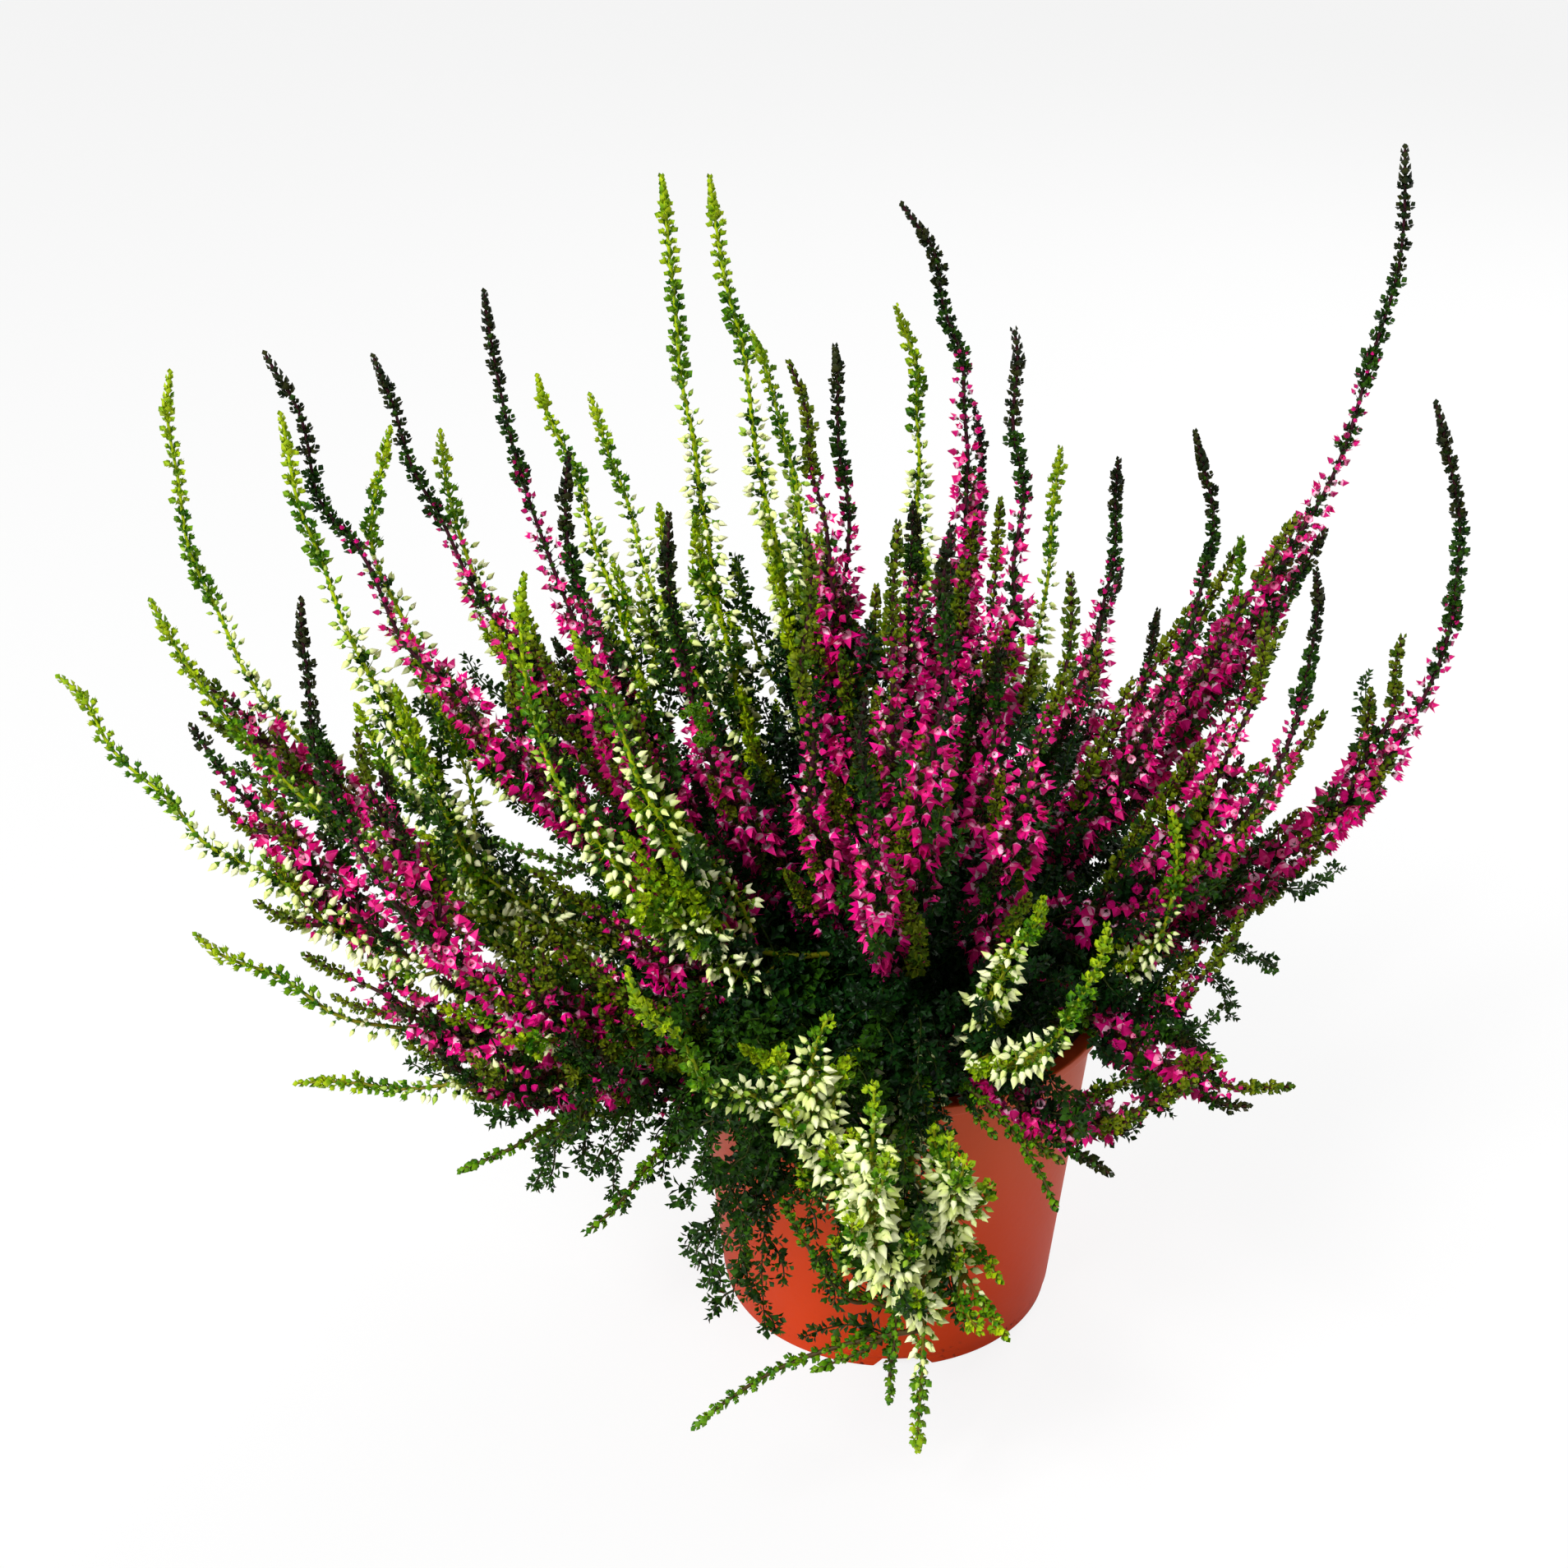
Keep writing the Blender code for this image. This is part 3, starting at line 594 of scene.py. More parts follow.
def bark_finish():
    """Old heather bark: grey-brown plates over a redder inner bark."""
    finish = Finish("old bark", Roughness=0.9)
    plates = finish.noise(PLATE_GRAIN, 4)
    shown = finish.step(plates, *PLATES_OVER)
    finish.set(Base_Color=finish.mix(shown, paint(74, 46, 30), paint(126, 98, 74)))
    finish.relief(plates, PLATE_DEPTH)
    return finish


stem_draw = np.random.default_rng(23)
STEMS = {row[0]: row[1:] for row in stem_rows()}
woody_stems = mesh_from("woody_stems", *joined([stem_tube(*row, stem_draw) for row in STEMS.values()]))
add_piece("woody_stems", woody_stems, bark_finish(), "bark", [f"stem_{name}" for name in STEMS])

# Shoots
# Each stem carries two or three masses of young shoots: long leading ones, second ones that fork
# low down, and side shoots that turn to run beside them. They are thin, round and springy, purple
# brown on the pink kind and lime green on the white kind.
TIERS = {"upper": 1.0, "middle": 0.6, "skirt": 0.28}

# Leading shoots: stem, tier, kind, bearing at the start, how far the bearing swings by the tip,
# lean at the start and at the tip, and length in mm
LEADING = (
    ("000", "upper", "pink", 35, -52, 56, -5, 233),
    ("000", "middle", "pink", 357, -16, 89, -26, 225),
    ("000", "skirt", "pink", 340, 52, 74, 78, 90),
    ("030", "upper", "pink", 52, 19, 69, -9, 129),
    ("030", "middle", "pink", 45, 19, 100, 12, 122),
    ("030", "skirt", "green", 25, 41, 68, 112, 111),
    ("060", "upper", "white", 59, 16, 81, -6, 133),
    ("060", "middle", "pink", 60, 0, 96, 34, 142),
    ("060", "skirt", "green", 74, 0, 66, 118, 121),
    ("090", "upper", "white", 81, -23, 45, -30, 163),
    ("090", "middle", "pink", 74, -12, 93, -24, 173),
    ("090", "skirt", "white", 88, 0, 66, 110, 127),
    ("120", "upper", "white", 168, 0, 9, 10, 193),
    ("120", "middle", "white", 97, 0, 85, 8, 149),
    ("120", "skirt", "green", 110, 0, 66, 106, 122),
    ("150", "upper", "white", 161, 0, 14, 4, 196),
    ("150", "middle", "pink", 176, -31, 47, 5, 200),
    ("150", "skirt", "white", 130, 0, 66, 102, 129),
    ("180", "upper", "pink", 174, -13, 54, 14, 185),
    ("180", "middle", "white", 176, 0, 98, -10, 262),
    ("180", "skirt", "green", 158, 0, 66, 98, 135),
    ("210", "upper", "pink", 181, -13, 65, 11, 210),
    ("210", "middle", "white", 186, -3, 90, 19, 212),
    ("210", "skirt", "white", 212, -52, 85, 36, 233),
    ("240", "upper", "white", 221, -46, 74, -7, 162),
    ("240", "middle", "pink", 216, -45, 100, -10, 224),
    ("240", "skirt", "white", 226, -48, 80, 88, 156),
    ("270", "upper", "pink", 260, -3, 53, 12, 137),
    ("270", "middle", "white", 259, -45, 100, 18, 165),
    ("270", "skirt", "white", 270, 8, 62, 200, 146),
    ("300", "upper", "pink", 278, 16, 39, 9, 147),
    ("300", "middle", "white", 272, 40, 98, 5, 127),
    ("300", "skirt", "pink", 277, 46, 75, 112, 81),
    ("330", "upper", "pink", 333, 32, 74, -12, 147),
    ("330", "middle", "white", 338, -36, 100, -25, 94),
    ("330", "skirt", "green", 318, 30, 72, 106, 72),
    ("inner_060", "upper", "pink", 75, -52, 35, -30, 185),
    ("inner_060", "middle", "pink", 337, 57, 68, -16, 175),
    ("inner_180", "upper", "pink", 78, 32, 0, 16, 144),
    ("inner_180", "middle", "pink", 226, 5, 52, 0, 162),
    ("inner_300", "upper", "pink", 335, 4, 24, -11, 160),
    ("inner_300", "middle", "pink", 232, 40, 60, -8, 172),
    ("inner_300", "skirt", "pink", 258, 0, 36, -4, 164),
)

# Second shoots: the leading shoot that they fork from, where on it, and then kind, bearing, swing,
# leans and length as above
BRANCHING = (
    ("210", "skirt", 0.15, "white", 203, -30, 100, 48, 141),
    ("210", "middle", 0.35, "white", 175, 2, 35, 7, 156),
    ("210", "upper", 0.30, "white", 159, 0, 74, -21, 128),
    ("180", "upper", 0.30, "white", 151, 0, 59, 0, 107),
    ("150", "middle", 0.25, "white", 153, 0, 18, 20, 121),
    ("150", "upper", 0.10, "white", 148, 0, 38, 14, 125),
    ("240", "upper", 0.15, "pink", 175, -16, 44, -6, 146),
    ("240", "upper", 0.20, "white", 219, 0, 30, 19, 111),
    ("inner_180", "upper", 0.15, "pink", 182, 0, 0, 14, 122),
    ("120", "upper", 0.10, "white", 92, 49, 0, 29, 129),
    ("270", "upper", 0.20, "pink", 295, 0, 24, -3, 127),
    ("300", "middle", 0.20, "white", 280, 10, 34, 34, 84),
    ("330", "skirt", 0.50, "pink", 335, 20, 84, 0, 60),
    ("270", "skirt", 0.52, "white", 200, 0, 66, -24, 76),
    ("270", "skirt", 0.60, "white", 290, 0, 42, -5, 55),
    ("270", "skirt", 0.66, "white", 235, 0, 50, -15, 85),
    ("270", "skirt", 0.70, "green", 170, 0, 80, 20, 50),
    ("270", "skirt", 0.72, "green", 186, -5, 92, 140, 66),
    ("240", "skirt", 0.15, "green", 261, 0, 72, 180, 75),
    ("240", "skirt", 0.30, "green", 262, -45, 98, 112, 66),
    ("240", "skirt", 0.45, "green", 228, -40, 100, 118, 52),
    ("000", "upper", 0.30, "green", 30, 0, 30, 0, 50),
    ("000", "middle", 0.42, "pink", 345, -10, 30, 0, 62),
    ("330", "upper", 0.20, "pink", 350, 10, 40, 0, 96),
)

# Finer shoots that fork from a leading one and fill the crown between the longer ones: what the
# ones of each mass bear, from the foot of the leading shoot up
FINER = {
    ("180", "middle"): ("pink",),
    ("210", "upper"): ("pink",),
    ("210", "middle"): ("white", "green"),
    ("210", "skirt"): ("white", "pink"),
    ("240", "upper"): ("white",),
    ("240", "middle"): ("pink", "pink"),
    ("240", "skirt"): ("green", "white", "pink", "white", "pink", "white", "pink", "white", "pink", "pink"),
    ("270", "skirt"): ("green", "green", "white", "green"),
    ("300", "skirt"): ("pink",),
    ("330", "skirt"): ("pink", "pink"),
    ("000", "skirt"): ("pink",),
    ("inner_180", "middle"): ("green",),
}
FINER_FROM = 0.12
FINER_TO = 0.6
FINER_SPREAD = (15, 55)
FINER_RISES = {"pink": (15, 75), "white": (5, 55), "green": (-60, 10)}
FINER_LENGTHS = {"pink": (45, 88), "white": (42, 72), "green": (38, 66)}

LONG_STEPS = 60
LONG_FOOT_R = 0.85 * MM
LONG_TIP_R = 0.4 * MM
LONG_SIDES = 5
WIGGLE = 0.5 * MM
WIGGLES = 3
WIGGLE_LENGTHS = (5, 11)
START_SUNK = 0.6
SIDE_EVERY = {"pink": 10 * MM, "white": 13 * MM, "green": 34 * MM}
SIDE_FROM = 0.06
SIDE_TO = 0.44
SIDE_TO_MOST = 0.7
SIDE_ENDS = (0.3, 0.58)
SIDE_ANGLE = 40
SIDE_FADE = 4
SIDE_STRAY = (0.2, 0.8)
SIDE_TURN_STRAY = 20
SIDE_SHORTEST = 20 * MM
SIDE_LONGEST = 84 * MM
SIDE_STEPS = 22
SIDE_FOOT_R = 0.62 * MM
SIDE_TIP_R = 0.36 * MM
SIDE_SIDES = 4
LEAFY_SHARES = {"pink": 0.28, "white": 0.25, "green": 0}
GOLDEN = 137.5
FRONT_MASS = ("270", "skirt")
FRONT_RIPE = 2.2
SKIRT_RIPE = 1.4
RIPE_SHORTENS = 1.5
RIPE_BARES = 3
MINGLED = {("240", "skirt"): "pink", ("210", "skirt"): "pink"}
MINGLED_SHARE = 0.5
YOUNG_FROM = (0.12, 0.24)
AGE_PATCHES = 0.06
AGE_GRAIN = 20 * MM
STALK_GRAIN = 0.6 * MM
STALK_DEPTH = 0.12 * MM


class Shoot(Path):
    """One shoot: its path, its kind, how ripe it is, how thick it is and how many sides it has."""

    def __init__(self, points, kind, ripe, radii, sides):
        super().__init__(points)
        self.kind = kind
        self.ripe = ripe
        self.radii = np.linspace(*radii, len(points))
        self.sides_round = sides

    def radius(self, distances):
        share = np.asarray(distances) / self.length
        return self.radii[0] + (self.radii[-1] - self.radii[0]) * share

    def stalk(self):
        return self.tube(self.radii, self.sides_round)


def long_shoot(points, kind, ripe=1.0):
    """A leading, second or finer shoot."""
    return Shoot(points, kind, ripe, (LONG_FOOT_R, LONG_TIP_R), LONG_SIDES)


def shoot_start(stem, tier, bearing):
    """Where a leading shoot leaves its stem: the stem's tip, or its side lower down."""
    foot, stem_bearing, stem_lean, length = STEMS[stem]
    axis = heading(stem_bearing, stem_lean)
    neck = foot + (0, 0, STEM_FOOT_H)
    place = neck + axis * (length - STEM_FOOT_H) * TIERS[tier]
    if TIERS[tier] == 1:
        return place
    level = heading(bearing, 90)
    out = unit(level - axis * (level @ axis))
    return place + out * (STEM_FOOT_R + (STEM_TIP_R - STEM_FOOT_R) * TIERS[tier]) * START_SUNK


def long_path(start, bearing, swing, lean, tip_lean, length, steps, draw):
    """Points along a shoot whose bearing and lean change evenly, with slight waves in it."""
    t = (np.arange(steps) + 0.5) / steps
    ways = heading(bearing + swing * t, lean + (tip_lean - lean) * t)
    points = np.vstack([start, start + np.cumsum(ways, axis=0) * length * MM / steps])
    t = np.linspace(0, 1, steps + 1)[:, None]
    for _ in range(WIGGLES):
        waves_in_it = np.sin(t * length / draw.uniform(*WIGGLE_LENGTHS) + draw.uniform(0, 2 * pi))
        points = points + draw.normal(size=3) * WIGGLE * waves_in_it * np.sin(pi * t / 2)
    return points


def side_path(parent, t, length, turn, angle, fade, steps):
    """Points along a side shoot that leaves its parent and bends back to run beside it."""
    place, way, side, cross = parent.at(t * parent.length)
    ahead = parent.at(t * parent.length + length)[1]
    out = side * cos(turn) + cross * sin(turn)
    bend = (1 - (np.arange(steps)[:, None] + 0.5) / steps) ** fade
    ways = unit(way * bend + ahead * (1 - bend) + out * bend * 2 * sin(radians(angle)))
    return np.vstack([place, place + np.cumsum(ways, axis=0) * length / steps])


def side_kind(parent, other, draw):
    """What a side shoot bears: its parent's flowers, those that mingle with them, or only leaves."""
    if other and draw.random() < MINGLED_SHARE:
        return other
    leafy = {"pink": "olive", "white": "lime", "green": "green"}
    chance = LEAFY_SHARES[parent.kind] / parent.ripe**RIPE_BARES
    return leafy[parent.kind] if draw.random() < chance else parent.kind


def side_shoots(parent, other, draw):
    """Side shoots of a shoot: the riper it is, the more it has and the shorter they are."""
    grown = []
    reach = min(SIDE_TO * parent.ripe, SIDE_TO_MOST) - SIDE_FROM
    count = round(parent.length * reach / SIDE_EVERY[parent.kind] * parent.ripe)
    shorter = parent.ripe**RIPE_SHORTENS
    for i in range(count):
        t = SIDE_FROM + reach * (i + draw.uniform(*SIDE_STRAY)) / count
        length = (draw.uniform(*SIDE_ENDS) - t) * parent.length
        length = min(max(length, SIDE_SHORTEST), SIDE_LONGEST / shorter)
        turn = radians(GOLDEN * (i + 1) + draw.uniform(-SIDE_TURN_STRAY, SIDE_TURN_STRAY))
        points = side_path(parent, t, length, turn, SIDE_ANGLE, SIDE_FADE / shorter, SIDE_STEPS)
        kind = side_kind(parent, other, draw)
        grown.append(Shoot(points, kind, parent.ripe, (SIDE_FOOT_R, SIDE_TIP_R), SIDE_SIDES))
    return grown


def finer_shoots(leader, kinds, draw):
    """Shoots that fork to both sides of a leading one: those with flowers rise, the leafy ones arch down."""
    grown = []
    for i, kind in enumerate(kinds):
        share = FINER_FROM + (FINER_TO - FINER_FROM) * (i + draw.random()) / len(kinds)
        place, way, *_ = leader.at(share * leader.length)
        spread = draw.uniform(*FINER_SPREAD) * (-1) ** i
        bearing = degrees(atan2(way[1], way[0])) + spread
        lean = degrees(acos(way[2]))
        tip_lean = lean - draw.uniform(*FINER_RISES[kind])
        length = draw.uniform(*FINER_LENGTHS[kind])
        points = long_path(place, bearing, -spread / 2, lean, tip_lean, length, LONG_STEPS, draw)
        grown.append(long_shoot(points, kind, SKIRT_RIPE))
    return grown


def grow_shoots():
    """The long shoots, the side shoots, and the kind of each mass."""
    draw = np.random.default_rng(31)
    masses, kinds = {}, {}
    for stem, tier, kind, bearing, *course in LEADING:
        points = long_path(shoot_start(stem, tier, bearing), bearing, *course, LONG_STEPS, draw)
        masses[stem, tier] = [long_shoot(points, kind, SKIRT_RIPE if tier == "skirt" else 1.0)]
        kinds[stem, tier] = kind
    for stem, tier, fraction, kind, *course in BRANCHING:
        leader = masses[stem, tier][0]
        points = long_path(leader.at(fraction * leader.length)[0], *course, LONG_STEPS, draw)
        ripe = FRONT_RIPE if (stem, tier) == FRONT_MASS and kind == "white" else 1.0
        masses[stem, tier].append(long_shoot(points, kind, ripe))
    finer_draw = np.random.default_rng(37)
    for mass, finer_kinds in FINER.items():
        masses[mass] += finer_shoots(masses[mass][0], finer_kinds, finer_draw)
    long_ones = [shoot for shoots in masses.values() for shoot in shoots]
    side_ones = []
    for number, (mass, shoots) in enumerate(masses.items()):
        side_draw = random.Random(number)
        for parent in shoots:
            side_ones += side_shoots(parent, MINGLED.get(mass), side_draw)
    return long_ones, side_ones, kinds


LONG_SHOOTS, SIDE_SHOOTS, MASS_KINDS = grow_shoots()
ALL_SHOOTS = LONG_SHOOTS + SIDE_SHOOTS


def stalk_finish(name, young, old):
    """Thin green or purple stalk, browner low down and in patches."""
    finish = Finish(name, Roughness=0.55, Specular_IOR_Level=0.2)
    height = finish.height() + finish.noise(AGE_GRAIN) * AGE_PATCHES
    finish.set(Base_Color=finish.mix(1 - finish.step(height, *YOUNG_FROM), young, old))
    finish.relief(finish.noise(STALK_GRAIN, 3), STALK_DEPTH)
    return finish


STALK_FINISHES = {
    "pink": stalk_finish("purple brown stalk", paint(58, 16, 30), paint(60, 30, 18)),
    "white": stalk_finish("lime stalk", paint(164, 188, 4), paint(112, 96, 20)),
    "green": stalk_finish("green stalk", paint(84, 118, 4), paint(70, 56, 20)),
}
for kind, leafy_kind in (("pink", "olive"), ("white", "lime"), ("green", "green")):
    stalks = [shoot.stalk() for shoot in ALL_SHOOTS if shoot.kind in (kind, leafy_kind)]
    mesh = mesh_from(f"stalks_{kind}", *joined(stalks))
    mesh.shade_smooth()
    nodes = [f"foliage_{stem}_{tier}" for (stem, tier), found in MASS_KINDS.items() if found == kind]
    add_piece(f"stalks_{kind}", mesh, STALK_FINISHES[kind], f"{kind}_heather", nodes)

# Leafy tips and knobs
# Heather leaves are tiny thick scales in opposite pairs, each pair turned against the last. At a
# shoot's tip they lie tight on it. Below, they crowd on short side buds that look like green knobs.
LEAF_WIDE = 0.86
LEAF_ROUND = 0.36
LEAF_WIDEST = 0.56
LEAF_SHRINK = 0.25
LEAF_AXIS_R = 0.03
TIP_EVERY = 1.2 * MM
TIP_UNEVEN = 0.05
TIP_STRAY = 4
TIP_ANGLES = (10, 34)
TIP_LEAVES = (1.7 * MM, 3.1 * MM)
TIP_PART = 12 * MM
TIP_OVER = 0.4 * MM
HUG_EVERY = 2.5 * MM
HUG_ANGLE = 12
HUG_STRAY = 5
HUG_LEAVES = (1.7 * MM, 2.3 * MM)
KNOB_EVERY = 2.5 * MM
KNOB_FROM = 7 * MM
KNOB_PART = 46 * MM
KNOB_ANGLES = (30, 50)
KNOB_STRAY = 6
KNOB_SIZES = {
    "pink": (2.8 * MM, 4.3 * MM),
    "white": (3.0 * MM, 4.4 * MM),
    "olive": (2.6 * MM, 4.6 * MM),
    "lime": (2.6 * MM, 4.4 * MM),
    "green": (1.9 * MM, 3.3 * MM),
}
LEAFY_KNOB_EVERY = 3.1 * MM
LEAFY_TO = 0.92
AMONG_SHARES = {"pink": 0.3, "white": 0.13}
AMONG_SIZES = (2.6 * MM, 4.4 * MM)
AMONG_ANGLE = 50
AMONG_STRAY = 14
SIZE_SPREAD = (0.75, 1.2)
ZONE_LENGTH = 165 * MM
ZONE_MOST = 1.5
ZONE_LEAST = 0.5
PATCHES_OVER = (0.35, 0.65)


def scale_leaf():
    """A blunt leaf with a ridge down its outer side, in four faces."""
    half = LEAF_WIDE / 2
    points = [(0, 0, 0), (-half, 0, LEAF_WIDEST), (half, 0, LEAF_WIDEST)]
    points += [(0, LEAF_ROUND, LEAF_WIDEST * 0.8), (0, 0.04, 1)]
    return Template(points, [(0, 3, 1), (0, 2, 3), (1, 3, 4), (3, 2, 4)])


def leaves_on_axis(leaf, pairs, leaf_length, low_angle, high_angle, start):
    """A little axis of length 1 that bears pairs of leaves, each pair turned against the last."""
    parts = []
    up = np.array([0, 0, 1])
    for pair in range(pairs):
        share = pair / max(1, pairs - 1)
        angle = radians(low_angle + (high_angle - low_angle) * share)
        height = start + (1 - leaf_length - start) * share
        for turn in (0, pi):
            turn += pair * pi / 2
            out = np.array([cos(turn), sin(turn), 0])
            way = unit(up * cos(angle) + out * sin(angle))
            outer = unit(out * cos(angle) - up * sin(angle))
            place = up[None] * height + out * LEAF_AXIS_R
            size = np.array([leaf_length * (1 - LEAF_SHRINK * share)])
            parts.append(leaf.set_at(place, way[None], outer[None], size))
    return Template(*joined(parts))


def thread(r):
    """A thin stalk of length 1 and three sides that ends in a point."""
    foot = [(r * cos(a), r * sin(a), 0) for a in (0, 2 * pi / 3, 4 * pi / 3)]
    return Template([*foot, (0, 0, 1)], [(0, 1, 3), (1, 2, 3), (2, 0, 3)])


LEAF = scale_leaf()
THREAD = thread(0.09)
HEAD = leaves_on_axis(LEAF, 2, 0.6, 40, 14, 0.3)
NECK = thread(0.1)
KNOBS_BY_FORM = {
    "full": leaves_on_axis(LEAF, 3, 0.6, 50, 12, 0.02),
    "stalked": Template(*joined([(HEAD.points, HEAD.faces), (NECK.points, NECK.faces)])),
}


def zone(shoot):
    """How long the parts of this shoot are, set against those of a long one."""
    return min(ZONE_MOST, max(ZONE_LEAST, shoot.length / ZONE_LENGTH)) / shoot.ripe


def nodes_between(low, high, every, draw, stray=0.15):
    """Distances from a shoot's tip, evenly spaced but for a little stray."""
    count = int((high - low) / every)
    if count < 1:
        return np.zeros(0)
    return low + (np.arange(count) + 0.5 + draw.uniform(-stray, stray, count)) * every


def set_round(shoot, from_tip, count, angles, draw, stray=7, sink=0.3):
    """Place, direction and outer side of things in whorls of count, each whorl turned half a step."""
    along = shoot.length - from_tip
    place, way, side, cross = (row[:, None] for row in shoot.at(along))
    turn = np.arange(len(from_tip))[:, None] * pi / count + np.arange(count) * 2 * pi / count
    turn = (turn + draw.normal(0, radians(2 * stray), turn.shape))[..., None]
    out = side * np.cos(turn) + cross * np.sin(turn)
    angle = np.radians(np.reshape(angles, (-1, 1)) + draw.normal(0, stray, (len(from_tip), count)))
    angle = angle[..., None]
    ways = way * np.cos(angle) + out * np.sin(angle)
    outers = out * np.cos(angle) - way * np.sin(angle)
    places = place + out * (shoot.radius(along) * (1 - sink))[:, None, None]
    return places.reshape(-1, 3), unit(ways).reshape(-1, 3), unit(outers).reshape(-1, 3)


def between(pair, share):
    """The value at a share of the way from the first of a pair to the second."""
    return pair[0] + (pair[1] - pair[0]) * share


class Harvest:
    """Rows of like things, dealt out by name, until each name's rows become one piece."""

    def __init__(self):
        self.rows = {}

    def add(self, name, places, ways, outers, sizes):
        if len(places):
            self.rows.setdefault(name, []).append((places, ways, outers, np.asarray(sizes)))

    def add_piece(self, name, template, piece, finish, slot, smooth=False):
        """Adds one piece with the template set at each of a name's rows."""
        columns = (np.concatenate(column) for column in zip(*self.rows[name]))
        mesh = mesh_from(piece, *template.set_at(*columns))
        if smooth:
            mesh.shade_smooth()
        add_piece(piece, mesh, finish, slot)


TIP_FINISH = {"pink": "dark", "olive": "olive", "white": "lime", "lime": "lime", "green": "green"}
OLIVE_BELOW = 110 * MM
OLIVE_CHANCES = (0.65, 0.3)
DARK_TO = 24 * MM
KNOB_FINISH = {"pink": "mid", "olive": "olive", "white": "green", "lime": "lime", "green": "green"}


def leaf_colours(shoot, draw):
    """The finish of a shoot's tip and of its knobs: on many short pink shoots they are olive."""
    chance = OLIVE_CHANCES[0] if shoot.length < OLIVE_BELOW or shoot.ripe > 1 else OLIVE_CHANCES[1]
    if shoot.kind == "pink" and draw.random() < chance:
        return "olive", "olive"
    return TIP_FINISH[shoot.kind], KNOB_FINISH[shoot.kind]


def grow_tips(shoot, tip_colour, colour, leaves, draw):
    """Tight pairs of leaves at the tip, and one pair that hugs the stalk at each node below."""
    tip_part = TIP_PART * min(1, zone(shoot))
    tight = nodes_between(-TIP_OVER, tip_part, TIP_EVERY, draw, TIP_UNEVEN)
    share = np.clip(tight / tip_part, 0, 1)
    angles = between(TIP_ANGLES, share)
    rows = set_round(shoot, np.maximum(tight, 0), 2, angles, draw, TIP_STRAY)
    leaves.add(tip_colour, *rows, between(TIP_LEAVES, np.repeat(share, 2)))
    hugging = nodes_between(tip_part, shoot.length * LEAFY_TO, HUG_EVERY, draw)
    rows = set_round(shoot, hugging, 2, HUG_ANGLE, draw, HUG_STRAY)
    leaves.add(colour, *rows, draw.uniform(*HUG_LEAVES, 2 * len(hugging)))


def grow_knobs(shoot, tip_colour, colour, knobs, draw):
    """Knobs in pairs below the tip, as far as the flowers, or all the way down a leafy shoot."""
    size = zone(shoot)
    leafy = shoot.kind in ("olive", "lime", "green")
    end = shoot.length * LEAFY_TO if leafy else KNOB_PART * size
    every = LEAFY_KNOB_EVERY if leafy else KNOB_EVERY
    spots = nodes_between(KNOB_FROM * min(1, size), end, every, draw)
    angles = between(KNOB_ANGLES, draw.random(len(spots)))
    rows = set_round(shoot, spots, 2, angles, draw, KNOB_STRAY)
    share = np.repeat(np.clip(spots / (KNOB_PART * size), 0, 1), 2)
    sizes = between(KNOB_SIZES[shoot.kind], share)
    sizes = sizes * draw.uniform(*SIZE_SPREAD, len(share))
    form = "stalked" if shoot.kind == "white" else "full"
    near = np.repeat(spots < DARK_TO * size, 2)
    for name, chosen in ((tip_colour, near), (colour, ~near)):
        knobs.add((form, name), *(row[chosen] for row in rows), sizes[chosen])


def grow_knobs_among_flowers(shoot, knobs, draw):
    """Leafy buds that stand between the flowers, on some of the nodes."""
    spots = nodes_between(KNOB_PART * zone(shoot), shoot.length * LEAFY_TO, KNOB_EVERY, draw)
    spots = spots[draw.random(len(spots)) < AMONG_SHARES[shoot.kind]]
    rows = set_round(shoot, spots, 2, AMONG_ANGLE, draw, AMONG_STRAY)
    knobs.add(("full", "mid"), *rows, draw.uniform(*AMONG_SIZES, 2 * len(spots)))


def patchy_finish(name, colours, roughness, patches, detail, grain, depth):
    """A colour that goes off towards another in small patches, with a fine relief."""
    finish = Finish(name, Roughness=roughness, Specular_IOR_Level=0.2)
    finish.set(Base_Color=finish.mix(finish.blotches(patches, detail, *PATCHES_OVER), *colours))
    finish.relief(finish.noise(grain), depth)
    return finish


def leaf_finish(name, *colours):
    """Thick waxy leaf."""
    sizes = {"patches": 3.5 * MM, "detail": 2, "grain": 0.5 * MM, "depth": 0.05 * MM}
    return patchy_finish(name, colours, roughness=0.5, **sizes)


LEAF_FINISHES = {
    "dark": (leaf_finish("dark tip leaf", paint(16, 32, 6), paint(46, 50, 10)), "pink_heather"),
    "olive": (leaf_finish("olive leaf", paint(60, 92, 4), paint(118, 130, 12)), "pink_heather"),
    "mid": (leaf_finish("middle green leaf", paint(12, 44, 2), paint(44, 84, 6)), "green_heather"),
    "green": (leaf_finish("fresh green leaf", paint(44, 102, 0), paint(104, 150, 4)), "white_heather"),
    "lime": (leaf_finish("lime leaf", paint(108, 154, 6), paint(176, 198, 16)), "white_heather"),
    # The darker copy of the spray leaves, for twigs inside the plant: painted shade.
    "deep": (leaf_finish("green leaf with painted shade", paint(4, 28, 4), paint(16, 56, 8)), "green_heather"),
}
leaf_draw = np.random.default_rng(41)
LEAVES, KNOBS = Harvest(), Harvest()
for shoot in ALL_SHOOTS:
    tip_colour, colour = leaf_colours(shoot, leaf_draw)
    grow_tips(shoot, tip_colour, colour, LEAVES, leaf_draw)
    grow_knobs(shoot, tip_colour, colour, KNOBS, leaf_draw)
    if shoot.kind in ("pink", "white"):
        grow_knobs_among_flowers(shoot, KNOBS, leaf_draw)
for name in sorted(LEAVES.rows):
    LEAVES.add_piece(name, LEAF, f"leaves_{name}", *LEAF_FINISHES[name])
for form, name in sorted(KNOBS.rows):
    KNOBS.add_piece((form, name), KNOBS_BY_FORM[form], f"knobs_{form}_{name}", *LEAF_FINISHES[name])
